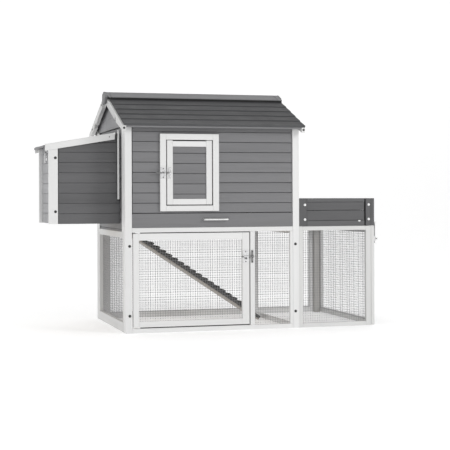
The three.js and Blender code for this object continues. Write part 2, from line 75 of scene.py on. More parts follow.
ROOF_RISE = 0.396  # height gained per length, on both slopes
ROOF_ANGLE = math.atan(ROOF_RISE)
ROOF_BOARDS = 6
ROOF_THIN = 8 * MM
ROOF_THICK = 12 * MM
BATTEN_DROP = 8.5 * MM
BATTEN_WIDE = 18 * MM
CAP_BOARD = 5 * MM  # thickness of the ridge cap's boards

BARGE_TALL = 48.5 * MM
BARGE_END = 31 * MM
BARGE_NOTCH = 20 * MM

LID_THICK = 14 * MM
LID_TRIM_TALL = 38 * MM

RAMP_SLOPE = 33.6  # degrees
RAMP_LENGTH = 1013 * MM

CAP_RADIUS = 8 * MM
KNUCKLE_RADIUS = 2.6 * MM
PLATE_THICK = 2 * MM  # the bolts' base plates

# ---- directions ----

AXES = {"x": 0, "y": 1, "z": 2}
DIRECTIONS = {"x": (1, 0, 0), "y": (0, 1, 0), "z": (0, 0, 1)}

# Grain of a plate, in its own frame: across its outline, up its outline, or through its thickness.
SIDEWAYS = (1, 0, 0)
UPWARD = (0, 1, 0)
THROUGH = (0, 0, 1)

OUTLINE_YZ = Matrix(((0, 0, 1, 0), (1, 0, 0, 0), (0, 1, 0, 0), (0, 0, 0, 1)))  # thick along X
OUTLINE_XZ = Matrix(((1, 0, 0, 0), (0, 0, -1, 0), (0, 1, 0, 0), (0, 0, 0, 1)))  # thick along -Y

FACING = {
    "front": Matrix.Rotation(math.radians(90), 4, "X"),
    "back": Matrix.Rotation(math.radians(-90), 4, "X"),
    "left": Matrix.Rotation(math.radians(-90), 4, "Y"),
    "right": Matrix.Rotation(math.radians(90), 4, "Y"),
}

# ---- materials ----


class Nodes:
    """A small helper that adds nodes to one material and joins them up."""

    def __init__(self, name):
        self.material = bpy.data.materials.new(name)
        self.material.use_nodes = True
        self.tree = self.material.node_tree
        self.shader = self.tree.nodes["Principled BSDF"]

    def put(self, socket, value):
        """Joins a socket to another node's output, or sets its plain value."""
        if isinstance(value, bpy.types.NodeSocket):
            self.tree.links.new(value, socket)
        else:
            socket.default_value = value

    def surface(self, name, value):
        self.put(self.shader.inputs[name], value)

    def add(self, kind, inputs=None, **settings):
        node = self.tree.nodes.new(kind)
        for key, value in settings.items():
            setattr(node, key, value)
        for key, value in (inputs or {}).items():
            self.put(node.inputs[key], value)
        return node

    def attribute(self, name, output):
        return self.add("ShaderNodeAttribute", attribute_name=name).outputs[output]

    def object_place(self):
        return self.add("ShaderNodeTexCoord").outputs["Object"]

    def noise(self, vector, scale, detail=3.0, roughness=0.55):
        inputs = {"Vector": vector, "Scale": scale, "Detail": detail, "Roughness": roughness}
        return self.add("ShaderNodeTexNoise", inputs).outputs["Fac"]

    def stretched(self, vector, scale):
        return self.add("ShaderNodeMapping", {"Vector": vector, "Scale": scale}).outputs["Vector"]

    def range(self, value, to_low, to_high):
        """The middle of a noise's values, 0.3 to 0.7, spread over a new range."""
        inputs = {"Value": value, "From Min": 0.3, "From Max": 0.7, "To Min": to_low, "To Max": to_high}
        return self.add("ShaderNodeMapRange", inputs).outputs["Result"]

    def maths(self, operation, a, b):
        return self.add("ShaderNodeMath", {0: a, 1: b}, operation=operation).outputs[0]

    def weigh(self, a, share_a, b, share_b):
        return self.maths("ADD", self.maths("MULTIPLY", a, share_a), self.maths("MULTIPLY", b, share_b))

    def mix(self, factor, a, b):
        node = self.add("ShaderNodeMix", data_type="RGBA")
        for key, value in (("Factor", factor), ("A", a), ("B", b)):
            self.put(next(s for s in node.inputs if s.name == key and s.enabled), value)
        return next(s for s in node.outputs if s.enabled)

    def bump(self, height, strength, distance):
        inputs = {"Height": height, "Strength": strength, "Distance": distance}
        self.surface("Normal", self.add("ShaderNodeBump", inputs).outputs["Normal"])


NEUTRAL = (1.0, 1.0, 1.0)
COOL = (1.0, 1.0, 1.03)


def grey(value, tint=NEUTRAL):
    return (value * tint[0], value * tint[1], value * tint[2], 1.0)


def painted_wood(name, dark, light, roughness, grain, tint=NEUTRAL):
    """Brushed paint over softwood: the grain runs along each board and shows through as fine ridges."""
    n = Nodes(name)
    place = n.attribute("grain", "Vector")
    tone = n.attribute("tone", "Fac")
    fibres = n.noise(n.stretched(place, (7.0, 260.0, 260.0)), 1.0, 4.0, 0.6)
    bands = n.noise(n.stretched(place, (1.6, 34.0, 34.0)), 1.0, 3.0, 0.5)
    blotches = n.noise(place, 9.0, 2.0)
    brush = n.noise(n.stretched(place, (3.0, 620.0, 620.0)), 1.0, 2.0)
    streaks = n.weigh(fibres, 0.45, bands, 0.55)
    shade = n.maths("ADD", n.range(streaks, 0.0, 0.62), n.maths("MULTIPLY", tone, 0.38))
    n.surface("Base Color", n.mix(shade, grey(dark, tint), grey(light, tint)))
    n.surface("Roughness", n.range(blotches, roughness - 0.07, roughness + 0.08))
    n.surface("Specular IOR Level", 0.35)
    n.bump(n.weigh(fibres, 0.6, brush, 0.4), grain, 0.0006)
    return n.material


def bare_wood(name, pale, deep):
    """Unpainted softwood with long grain lines of early and late wood."""
    n = Nodes(name)
    place = n.attribute("grain", "Vector")
    tone = n.attribute("tone", "Fac")
    warp = n.noise(n.stretched(place, (2.2, 14.0, 14.0)), 1.0, 2.0)
    across = n.stretched(place, (0.6, 30.0, 30.0))
    rings_at = n.add("ShaderNodeVectorMath", {0: across, 1: warp}, operation="ADD").outputs["Vector"]
    rings = n.add("ShaderNodeTexWave", {"Vector": rings_at, "Scale": 2.4, "Distortion": 2.5, "Detail": 2.0},
                  bands_direction="DIAGONAL").outputs["Fac"]
    fibres = n.noise(n.stretched(place, (9.0, 420.0, 420.0)), 1.0, 3.0)
    shade = n.weigh(n.weigh(rings, 0.5, fibres, 0.5), 0.8, tone, 0.25)
    n.surface("Base Color", n.mix(shade, deep, pale))
    n.surface("Roughness", n.range(fibres, 0.62, 0.78))
    n.bump(fibres, 0.5, 0.0005)
    return n.material


def metal(name, base, roughness, scratch=0.06, grain=(60.0, 60.0, 60.0), tint=NEUTRAL, metallic=1.0):
    """Plated or drawn metal: small changes of roughness and brightness, and a faint surface ripple."""
    n = Nodes(name)
    place = n.object_place()
    cloud = n.noise(n.stretched(place, grain), 1.0, 3.0)
    fine = n.noise(n.stretched(place, tuple(6 * g for g in grain)), 1.0, 2.0)
    n.surface("Base Color", n.mix(cloud, grey(base * 0.86, tint), grey(base * 1.08, tint)))
    n.surface("Roughness", n.range(fine, roughness - scratch, roughness + scratch))
    n.surface("Metallic", metallic)
    n.bump(fine, 0.12, 0.0001)
    return n.material


def plastic(name, base, roughness):
    """Moulded plastic with a fine satin texture and slight dulling."""
    n = Nodes(name)
    place = n.object_place()
    cloud = n.noise(place, 140.0, 2.0)
    n.surface("Base Color", n.mix(cloud, grey(base * 0.88), grey(base * 1.1)))
    n.surface("Roughness", n.range(cloud, roughness - 0.06, roughness + 0.08))
    n.bump(n.noise(place, 1800.0, 2.0), 0.15, 0.0001)
    return n.material


# Paints: darkest and lightest brightness, roughness, depth of the grain, tint.
WHITE = painted_wood("white_paint", 0.70, 0.78, 0.50, 0.16, (1.0, 1.0, 0.995))
# Painted shade: a darker copy of the same white paint, for the left run frame, the planter's front frame,
# the side door and the left barge board.
PAINTED_SHADE_WHITE = painted_wood("white_paint_painted_shade", 0.61, 0.69, 0.52, 0.16, (1.0, 1.0, 0.99))
# Painted shade: a darker, warmer copy of the same white paint for the rear right post, which stands in shade
# inside the coop.
PAINTED_SHADE_WARM_WHITE = painted_wood("white_paint_warm_painted_shade", 0.44, 0.54, 0.62, 0.30, (1.0, 0.98, 0.94))
WALL = painted_wood("wall_paint", 0.160, 0.215, 0.55, 0.30, COOL)
# Painted shade: a darker copy of the same wall paint for the nest box's front and rear, where the house
# shades them.
PAINTED_SHADE_WALL = painted_wood("wall_paint_painted_shade", 0.098, 0.138, 0.60, 0.25, COOL)
# Painted light: a lighter copy of the same wall paint for faces lit from the left, the gables and the nest
# box's outer wall, and for the lining under the left overhang.
PAINTED_LIGHT_WALL = painted_wood("wall_paint_painted_light", 0.29, 0.36, 0.55, 0.30, COOL)
ROOF = painted_wood("roof_paint", 0.058, 0.086, 0.66, 0.40, (1.0, 1.01, 1.05))
RIDGE = painted_wood("ridge_paint", 0.18, 0.24, 0.58, 0.35, COOL)
# Painted shadow: near-black paint for strips set where shade falls, under the ridge cap and in open joints.
SHADE = painted_wood("ridge_shadow", 0.012, 0.022, 0.80, 0.30)
PLANTER = painted_wood("planter_paint", 0.085, 0.125, 0.58, 0.35, COOL)
RAMP_DARK = painted_wood("ramp_top", 0.032, 0.130, 0.75, 0.60)
PINE = bare_wood("bare_pine", (0.60, 0.52, 0.42, 1.0), (0.40, 0.32, 0.23, 1.0))
GREY_PINE = bare_wood("weathered_pine", (0.50, 0.47, 0.43, 1.0), (0.34, 0.31, 0.28, 1.0))
# Metals: brightness, roughness, change of roughness, scale of the pattern, tint, metallic share.
WIRE = metal("galvanised_wire", 0.30, 0.45, 0.08, (40.0, 40.0, 40.0), (1.0, 1.0, 1.04), 0.6)
ZINC = metal("bright_zinc", 0.80, 0.24, 0.08, (90.0, 90.0, 90.0), (1.0, 1.0, 1.01), 0.8)
DULL_ZINC = metal("dull_zinc", 0.26, 0.32, 0.08)
SCREW = metal("dark_screw", 0.07, 0.45, 0.1)
ALUMINIUM = metal("satin_aluminium", 0.86, 0.30, 0.06, (14.0, 220.0, 220.0))
SHEET = metal("galvanised_sheet", 0.58, 0.40, 0.12, (26.0, 26.0, 26.0), COOL)
DARK_CAP = plastic("dark_cap", 0.018, 0.42)
WHITE_CAP = plastic("white_cap", 0.82, 0.40)

# ---- mesh building ----


class Piece:
    """Collects closed shells into one mesh. Boards carry their own grain coordinates and a tone."""

    def __init__(self, name):
        self.name = name
        self.random = random.Random(name + "0")
        self.verts = []
        self.faces = []
        self.grain = []
        self.tone = []
        self.smooth = []

    def shell(self, verts, faces, along=(1, 0, 0), place=None, smooth=False):
        """Adds a shell. along is the grain direction in the shell's own frame."""
        grain_x = Vector(along).normalized()
        other = Vector((0, 0, 1)) if abs(grain_x.z) < 0.9 else Vector((1, 0, 0))
        grain_y = other.cross(grain_x).normalized()
        grain_z = grain_x.cross(grain_y)
        shift = Vector([self.random.uniform(-40, 40) for _ in range(3)])
        tone = self.random.random()
        first = len(self.verts)
        for v in verts:
            v = Vector(v)
            self.grain.append(Vector((v.dot(grain_x), v.dot(grain_y), v.dot(grain_z))) + shift)
            self.tone.append(tone)
            self.verts.append(place @ v if place else v)
        for face in faces:
            self.faces.append([first + i for i in face])
            self.smooth.append(smooth)

    def board(self, lo, hi, along="x", bevel=BEVEL, place=None):
        """A board with chamfered edges between two corners."""
        verts, faces = chamfered_box(Vector(lo), Vector(hi), bevel)
        self.shell(verts, faces, DIRECTIONS[along], place)

    def slabs(self, normal, low, high, boards, bevel=BEVEL):
        """Boards that lie side by side, from low to high along normal. Each has its two other ranges, in
        X, Y, Z order, and its grain."""
        n = AXES[normal]
        a, b = other_axes(normal)
        for a_range, b_range, along in boards:
            lo, hi = [0.0] * 3, [0.0] * 3
            lo[n], hi[n] = low, high
            lo[a], hi[a] = a_range
            lo[b], hi[b] = b_range
            self.board(lo, hi, along, bevel)

    def plate(self, points, thickness, along, bevel, place):
        """A flat outline in the local XY plane, extruded along local Z, with its edges eased."""
        bm = bmesh.new()
        face = bm.faces.new([bm.verts.new((x, y, 0)) for x, y in points])
        up = bmesh.ops.extrude_face_region(bm, geom=[face])["geom"]
        lifted = [g for g in up if isinstance(g, bmesh.types.BMVert)]
        bmesh.ops.translate(bm, verts=lifted, vec=(0, 0, thickness))
        bmesh.ops.recalc_face_normals(bm, faces=bm.faces)
        sharp = [e for e in bm.edges if e.calc_face_angle(0) > 0.5]
        bmesh.ops.bevel(bm, geom=sharp, offset=bevel, segments=1, affect="EDGES", clamp_overlap=True)
        # The bevel leaves its points in a different order each run, so points and faces are sorted.
        ordered = sorted(bm.verts, key=lambda v: [round(c, 6) for c in v.co])
        number = {v: i for i, v in enumerate(ordered)}
        faces = []
        for face in bm.faces:
            ring = [number[v] for v in face.verts]
            start = ring.index(min(ring))
            faces.append(ring[start:] + ring[:start])
        verts = [v.co.copy() for v in ordered]
        bm.free()
        self.shell(verts, sorted(faces), along, place)

    def plate_yz(self, points, x0, x1, grain=THROUGH, bevel=1.0 * MM):
        """An outline in (y, z), extruded along X from x0 to x1."""
        self.plate(points, x1 - x0, grain, bevel, Matrix.Translation((x0, 0, 0)) @ OUTLINE_YZ)

    def plate_xz(self, points, y0, y1, grain):
        """An outline in (x, z), extruded along Y from y0 to y1."""
        self.plate(points, y1 - y0, grain, BEVEL, Matrix.Translation((0, y1, 0)) @ OUTLINE_XZ)

    def lathe(self, profile, segments, place):
        """Turns (radius, height) points about local Z. The profile starts and ends on the axis."""
        verts = []
        rings = []
        for radius, height in profile:
            if radius == 0:
                rings.append([len(verts)])
                verts.append((0, 0, height))
                continue
            rings.append(list(range(len(verts), len(verts) + segments)))
            for i in range(segments):
                angle = math.tau * i / segments
                verts.append((radius * math.cos(angle), radius * math.sin(angle), height))
        faces = []
        for lower, upper in zip(rings, rings[1:]):
            for i in range(segments):
                j = (i + 1) % segments
                ring = [lower[i % len(lower)], lower[j % len(lower)]]
                ring += [upper[j % len(upper)], upper[i % len(upper)]]
                faces.append(list(dict.fromkeys(ring)))
        self.shell(verts, faces, (0, 0, 1), place, True)

    def bar(self, path, radius, sides=10):
        """A round bar that follows a list of points."""
        points = [Vector(p) for p in path]
        verts = []
        side = None
        for i, point in enumerate(points):
            ahead = points[min(i + 1, len(points) - 1)] - points[max(i - 1, 0)]
            ahead.normalize()
            if side is None:
                side = ahead.orthogonal().normalized()
            side = (side - ahead * side.dot(ahead)).normalized()
            up = ahead.cross(side)
            for k in range(sides):
                angle = math.tau * k / sides
                verts.append(point + (side * math.cos(angle) + up * math.sin(angle)) * radius)
        last = (len(points) - 1) * sides
        faces = []
        for i in range(0, last, sides):
            for k in range(sides):
                a, b = i + k, i + (k + 1) % sides
                faces.append([a, b, b + sides, a + sides])
        faces.append(list(range(sides))[::-1])
        faces.append([last + k for k in range(sides)])
        self.shell(verts, faces, smooth=True)

    def finish(self, material, *nodes, body="root", slot=None, crease=40):
        """Makes the object, which rides on a body and replaces the CAD nodes that it is given."""
        mesh = bpy.data.meshes.new(self.name)
        mesh.from_pydata([tuple(v) for v in self.verts], [], self.faces)
        grain = mesh.attributes.new("grain", "FLOAT_VECTOR", "POINT")
        grain.data.foreach_set("vector", [c for g in self.grain for c in g])
        tone = mesh.attributes.new("tone", "FLOAT", "POINT")
        tone.data.foreach_set("value", self.tone)
        mesh.polygons.foreach_set("use_smooth", self.smooth)
        mesh.update()
        if any(self.smooth):
            mark_creases(mesh, math.radians(crease))
        mesh.materials.append(material)
        piece = link_object(self.name, mesh)
        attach(piece, body)
        if nodes:
            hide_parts(*nodes)


def one_board(name, lo, hi, along, bevel, material, *nodes, **settings):
    piece = Piece(name)
    piece.board(lo, hi, along, bevel)
    piece.finish(material, *nodes, **settings)


def link_object(name, data):
    thing = bpy.data.objects.new(name, data)
    bpy.context.scene.collection.objects.link(thing)
    return thing


def mark_creases(mesh, angle):
    bm = bmesh.new()
    bm.from_mesh(mesh)
    for edge in bm.edges:
        edge.smooth = edge.calc_face_angle(0) < angle
    bm.to_mesh(mesh)
    bm.free()


def chamfered_box(lo, hi, bevel):
    """The 24 vertices and 26 faces of a box with a flat chamfer along every edge."""
    verts = []
    corners = [(sx, sy, sz) for sx in (0, 1) for sy in (0, 1) for sz in (0, 1)]
    for corner in corners:
        for axis in range(3):
            at = []
            for i in range(3):
                inset = 0 if i == axis else bevel
                at.append(hi[i] - inset if corner[i] else lo[i] + inset)
            verts.append(Vector(at))

    def index(corner, axis):
        return corners.index(tuple(corner)) * 3 + axis

    faces = []
    for axis in range(3):
        a, b = [i for i in range(3) if i != axis]
        for side in (0, 1):
            ring = []
            for sa, sb in ((0, 0), (1, 0), (1, 1), (0, 1)):
                corner = [0, 0, 0]
                corner[axis], corner[a], corner[b] = side, sa, sb
                ring.append(index(corner, axis))
            faces.append(ring)
        for sa in (0, 1):
            for sb in (0, 1):
                corner = [0, 0, 0]
                corner[a], corner[b] = sa, sb
                far = list(corner)
                far[axis] = 1
                faces.append([index(corner, a), index(far, a), index(far, b), index(corner, b)])
    faces.extend([index(c, 0), index(c, 1), index(c, 2)] for c in corners)
    middle = (lo + hi) / 2
    outward = []
    for face in faces:
        points = [verts[i] for i in face]
        normal = (points[1] - points[0]).cross(points[2] - points[0])
        centre = sum(points, Vector()) / len(points)
        outward.append(face if normal.dot(centre - middle) > 0 else face[::-1])
    return verts, outward


def box_of(node):
    lo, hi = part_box(node)
    return Vector(lo), Vector(hi)


def joint_at(name):
    return Vector(next(j for j in frame["joints"] if j["name"] == name)["pos_m"])


def other_axes(normal):
    return [i for i in range(3) if i != AXES[normal]]


def strips(low, high, count):
    """Divides a width between equal boards, with a joint before each but the first."""
    width = high - low
    return [(low + width * i / count + (STRIP_JOINT if i else 0), low + width * (i + 1) / count)
            for i in range(count)]


def cut_rects(rect, holes):
    """A rectangle (a0, b0, a1, b1) less its holes: pieces left and right of, below and above each."""
    least = 5 * MM
    rects = [rect]
    for h0, k0, h1, k1 in holes:
        parts = []
        for a0, b0, a1, b1 in rects:
            if h0 >= a1 or h1 <= a0 or k0 >= b1 or k1 <= b0:
                parts.append((a0, b0, a1, b1))
                continue
            around = ((a0, b0, h0, b1), (h1, b0, a1, b1), (max(a0, h0), b0, min(a1, h1), k0),
                      (max(a0, h0), k1, min(a1, h1), b1))
            parts += [p for p in around if p[2] - p[0] > least and p[3] - p[1] > least]
        rects = parts
    return rects


def mirrored(points, mid, side):
    """The points as they are for side +1, and reflected about Y = mid for side -1."""
    if side > 0:
        return points
    return [(2 * mid - y, z) for y, z in points][::-1]


# ---- painted frames and posts ----


def window_of(mesh_node, normal, lap=MESH_LAP):
    """The opening (a0, z0, a1, z1) that a sheet of wire mesh covers."""
    lo, hi = box_of(mesh_node)
    a, b = other_axes(normal)
    return lo[a] + lap, lo[b] + lap, hi[a] - lap, hi[b] - lap


def frame_boards(name, node, normal, window, body="root", material=WHITE):
    """Two stiles at full height with two rails between them, around a window (a0, z0, a1, z1)."""
    lo, hi = box_of(node)
    n = AXES[normal]
    a = other_axes(normal)[0]
    a0, z0, a1, z1 = window
    rail = (a0 + SEAM, a1 - SEAM)
    height = (lo.z, hi.z)
    along = "xyz"[a]
    piece = Piece(name)
    piece.slabs(normal, lo[n], hi[n], (((lo[a], a0), height, "z"), ((a1, hi[a]), height, "z"),
                                       (rail, (lo.z, z0), along), (rail, (z1, hi.z), along)))
    piece.finish(material, node, body=body)


def posts():
    for node in ("post_front_left", "post_rear_left", "post_front_mid", "post_rear_mid", "post_rear_right"):
        # The rear right post takes the darker, warmer copy of the white paint: painted shade.
        material = PAINTED_SHADE_WARM_WHITE if node == "post_rear_right" else WHITE
        one_board(node + "_timber", *box_of(node), "z", 1.8 * MM, material, node)


def corner_battens():
    """White cover strips on the left wall, beside its two posts."""
    lo, hi = box_of("wall_left")
    wide = 50 * MM
    front, back = lo.x - 4 * MM, lo.x - 0.2 * MM
    piece = Piece("left_wall_battens")
    for y0, y1 in ((lo.y, lo.y + wide), (hi.y - wide, hi.y)):
        piece.board((front, y0, lo.z), (back, y1, hi.z), "z", SMALL_BEVEL)
    piece.finish(WHITE)


def run_front():
    """The run's long front rails, with a mullion beside its door and a stile at the end."""
    lo, hi = box_of("run_front_frame")
    window_x0, foot, window_x1, head = window_of("mesh_run_front", "y")
    mullion_x = box_of("run_door_frame")[1].x + 6 * MM
    between = (foot + SEAM, head - SEAM)
    piece = Piece("run_front_rails")
    whole = (lo.x, hi.x)
    piece.slabs("y", lo.y, hi.y, (
        (whole, (lo.z, foot), "x"), (whole, (head, hi.z), "x"),
        ((mullion_x, window_x0), between, "z"), ((window_x1, hi.x), between, "z")))
    piece.finish(WHITE, "run_front_frame")
    run_door_stops(hi.y, mullion_x, foot, head)


def run_door_stops(y, mullion_x, foot, head):
    """Dark stops behind the open joint around the door, clear of the hinged edge's sweep. Their near-black
    is painted shade that darkens the joint.
    """
    door_lo, door_hi = box_of("run_door_frame")
    lap = 3 * MM
    sweep = 45 * MM
    clear = 0.3 * MM
    right = mullion_x + lap
    level = (door_lo.x + sweep, right)
    upright = (door_lo.z + lap + clear, door_hi.z - lap - clear)
    stops = Piece("run_door_stops")
    stops.slabs("y", y + 0.2 * MM, y + 4 * MM, (
        (level, (foot - lap, door_lo.z + lap), "x"), (level, (door_hi.z - lap, head + lap), "x"),
        ((door_hi.x - lap, right), upright, "z")), 0.5 * MM)
    stops.finish(SHADE, slot="dark_cap")


def frames():
    # The left run frame and the planter's front frame take the darker copy of the white paint: painted
    # shade.
    for stem, normal, material in (("run_left", "x", PAINTED_SHADE_WHITE), ("run_rear", "y", WHITE),
                                   ("planter_front", "y", PAINTED_SHADE_WHITE), ("planter_rear", "y", WHITE)):
        window = window_of("mesh_" + stem, normal)
        frame_boards(stem + "_rails", stem + "_frame", normal, window, material=material)
    lo, hi = box_of("passage_frame")
    stile, sill, head = 30 * MM, 26 * MM, 40 * MM
    window = (lo.y + stile, lo.z + sill, hi.y - stile, hi.z - head)
    frame_boards("passage_rails", "passage_frame", "x", window)
    window = window_of("run_door_mesh", "y", DOOR_MESH_LAP)
    frame_boards("run_door_rails", "run_door_frame", "y", window, "run_door")
    window = window_of("side_door_mesh", "x")
    # The side door's frame takes the darker copy of the white paint: painted shade.
    frame_boards("side_door_rails", "side_door_frame", "x", window, "side_door", PAINTED_SHADE_WHITE)


# ---- wire mesh ----


def wire_sheet(node, normal, body="root"):
    """Welded wire: upright wires on one side, level wires welded across them, each a little uneven."""
    lo, hi = box_of(node)
    n = AXES[normal]
    level, upright = other_axes(normal)
    middle = (lo[n] + hi[n]) / 2
    piece = Piece(node + "_wires")

    def wander():
        return piece.random.uniform(-WIRE_WANDER, WIRE_WANDER) * MM

    for run_axis, step_axis, side in ((upright, level, 1), (level, upright, -1)):
        offset = side * WIRE_RADIUS * 0.85
        width = hi[step_axis] - lo[step_axis] - 2 * WIRE_EDGE
        length = hi[run_axis] - lo[run_axis]
        count = round(width / WIRE_PITCH)
        steps = max(2, round(length / (10 * WIRE_PITCH)))
        for i in range(count + 1):
            path = []
            for k in range(steps + 1):
                point = [0.0] * 3
                point[run_axis] = lo[run_axis] + WIRE_EDGE + (length - 2 * WIRE_EDGE) * k / steps
                point[step_axis] = lo[step_axis] + WIRE_EDGE + width * i / count + wander()
                point[n] = middle + offset + wander()
                path.append(point)
            piece.bar(path, WIRE_RADIUS, WIRE_SIDES)
    piece.finish(WIRE, node, body=body, crease=75)


def meshes():
    for stem in ("run_front", "run_left", "run_rear", "planter_front", "planter_rear"):
        wire_sheet("mesh_" + stem, "x" if stem == "run_left" else "y")
    wire_sheet("run_door_mesh", "y", "run_door")
    wire_sheet("side_door_mesh", "x", "side_door")


# ---- clapboard walls ----


def clapboards(name, node, normal, outward, line_z, holes=(), body="root", cut_top=None, groove=GROOVE,
               material=WALL, joints=(0.0, 0.0)):
    """Separate lapped boards on a thin backing. outward is +1 or -1 along normal, and line_z is the
    lowest board's foot. cut_top gives the wall's height at a place along it, where its top slopes,
    and joints the width of the open joints at the two ends."""
    lo, hi = box_of(node)
    n = AXES[normal]
    a = other_axes(normal)[0]
    back = lo[n] if outward > 0 else hi[n]
    piece = Piece(name)

    def top_at(place):
        return cut_top(place) if cut_top else hi.z

    def add(a0, z0, a1, z1, foot, near, far):
        """One board, near to far out from the wall's back. Its face leans, starting at foot."""
        verts, faces = chamfered_box(Vector((a0, near, z0)), Vector((a1, far, z1)), CLAPBOARD_BEVEL)
        placed = []
        for v in verts:
            z = min(v.z, top_at(v.x) - (CLAPBOARD_BEVEL if v.z > z1 - 0.5 * MM else 0))
            depth = v.y
            if depth > far - 1.5 * MM:
                depth -= LEAN * (z - foot) / BOARD_PITCH
            point = [0.0] * 3
            point[a] = v.x
            point[n] = back + outward * depth
            point[2] = z
            placed.append(Vector(point))
        if (outward > 0) == (n == 0):
            faces = [face[::-1] for face in faces]
        piece.shell(placed, faces, DIRECTIONS["xyz"[a]])

    for a0, z0, a1, z1 in cut_rects((lo[a], lo.z, hi[a], hi.z), holes):
        add(a0, z0, a1, min(z1, max(top_at(a0), top_at(a1))), z0, 0.0, BACKING)
    least = 3 * MM  # height of a board's thin end under a sloping top
    foot = line_z
    while foot < hi.z - 2 * least:
        head = min(foot + BOARD_PITCH - groove, hi.z)
        row = (lo[a] + joints[0], max(foot, lo.z), hi[a] - joints[1], head)
        for a0, z0, a1, z1 in cut_rects(row, holes):
            start, end = top_at(a0), top_at(a1)
            if cut_top and max(start, end) < z0 + 2 * least:
                continue
            if cut_top and min(start, end) < z0 + least:
                a0 = a0 + (z0 + least - start) / ((end - start) / (a1 - a0))
            add(a0, z0, a1, z1, foot, BACKING, hi[n] - lo[n])
        foot += BOARD_PITCH
    piece.finish(material, node, body=body, slot="wall_paint")


def lid_slope():
    lo, hi = box_of("nest_lid")
    return (hi.z - lo.z - LID_THICK) / (hi.x - lo.x)


def below_lid(x):
    """Height at x that is just clear of the lid's underside."""
    lo, _ = box_of("nest_lid")
    return lo.z + (x - lo.x) * lid_slope() - 0.8 * MM


def walls():
    surround_lo, surround_hi = box_of("house_door_surround")
    rim = 29 * MM
    doorway = (surround_lo.x + rim, surround_lo.z + rim, surround_hi.x - rim, surround_hi.z - rim)
    first = box_of("wall_front")[0].z - 1.3 * MM
    clapboards("front_wall_boards", "wall_front", "y", -1, first, [doorway], joints=(5 * MM, 2 * MM))
    steps = math.ceil((first - box_of("wall_rear")[0].z) / BOARD_PITCH)
    low_line = first - steps * BOARD_PITCH
    clapboards("rear_wall_boards", "wall_rear", "y", 1, low_line)
    clapboards("right_wall_boards", "wall_right", "x", 1, low_line)

    outer_lo, outer_hi = box_of("nest_wall_outer")
    nest_rim = 21 * MM
    nest_hole = (outer_lo.y + nest_rim, 650 * MM, outer_hi.y - nest_rim, 1000 * MM)
    clapboards("left_wall_boards", "wall_left", "x", -1, low_line + 25 * MM - BOARD_PITCH, [nest_hole])
    nest_line = first - BOARD_PITCH
    # The nest box's front and rear boards take the darker copy of the wall paint: painted shade.
    for end, outward in (("front", -1), ("rear", 1)):
        clapboards(f"nest_{end}_boards", "nest_wall_" + end, "y", outward, nest_line, cut_top=below_lid,
                   groove=NEST_GROOVE, material=PAINTED_SHADE_WALL, joints=(4 * MM, 0.0))
    # The nest box's outer wall takes the lighter copy of the wall paint: painted light.
    clapboards("nest_outer_boards", "nest_wall_outer", "x", -1, nest_line, groove=NEST_GROOVE,
               material=PAINTED_LIGHT_WALL)

    steps = math.floor((box_of("house_door_panel")[0].z - first) / BOARD_PITCH)
    door_line = first + steps * BOARD_PITCH - 7 * MM
    clapboards("house_door_boards", "house_door_panel", "y", -1, door_line, body="house_door")
    for node in ("gable_left", "gable_right"):
        gable(node)


def gable(node):
    """Three wide boards, trimmed to the roof's slope."""
    lo, hi = box_of(node)
    mid = (lo.y + hi.y) / 2
    eave_top = hi.z - (hi.y - mid) * ROOF_RISE
    piece = Piece(node + "_boards")
    for z0, z1 in strips(lo.z, hi.z, 3):
        half0 = min(mid - lo.y, (hi.z - z0) / ROOF_RISE)
        half1 = min(mid - lo.y, max(0.0, (hi.z - z1) / ROOF_RISE))
        points = [(mid - half0, z0), (mid + half0, z0)]
        if z0 < eave_top < z1:
            points += [(hi.y, eave_top), (mid + half1, z1), (mid - half1, z1), (lo.y, eave_top)]
        elif half1 > 1 * MM:
            points += [(mid + half1, z1), (mid - half1, z1)]
        else:
            points += [(mid, z1)]
        piece.plate_yz(points, lo.x, hi.x, SIDEWAYS, SMALL_BEVEL)
    # The gable takes the lighter copy of the wall paint: painted light.
    piece.finish(PAINTED_LIGHT_WALL, node)


# ---- roof ----


def eave():
    """Y and Z where the front slope's underside starts."""
    lo, _ = box_of("roof_front")
    return lo.y + ROOF_THICK * math.sin(ROOF_ANGLE), lo.z + BATTEN_DROP


def under_roof(y):
    """Height of the front slope's underside at y."""
    eave_y, eave_z = eave()
    return eave_z + (y - eave_y) * ROOF_RISE


def roof_slope(node, mid, side):
    """Boards that taper from a thick foot to a thin head, the last one cut plumb at the ridge."""
    lo, hi = box_of(node)
    eave_y, eave_z = eave()
    run = (mid - eave_y) / math.cos(ROOF_ANGLE)
    length = run + ROOF_THIN * math.tan(ROOF_ANGLE)

    def at(s, n):
        """The point that is s up the slope from the eave, and n above its underside."""
        return (eave_y + s * math.cos(ROOF_ANGLE) - n * math.sin(ROOF_ANGLE),
                eave_z + s * math.sin(ROOF_ANGLE) + n * math.cos(ROOF_ANGLE))

    piece = Piece(node + "_boards")
    for i in range(ROOF_BOARDS):
        s0 = length * i / ROOF_BOARDS + 0.3 * MM
        s1 = length * (i + 1) / ROOF_BOARDS - 0.5 * MM
        low_end = run if i == ROOF_BOARDS - 1 else s1
        points = [at(s0, 0.0), at(low_end, 0.2 * MM), at(s1, ROOF_THIN), at(s0, ROOF_THICK)]
        piece.plate_yz(mirrored(points, mid, side), lo.x, hi.x)
    piece.finish(ROOF, node)


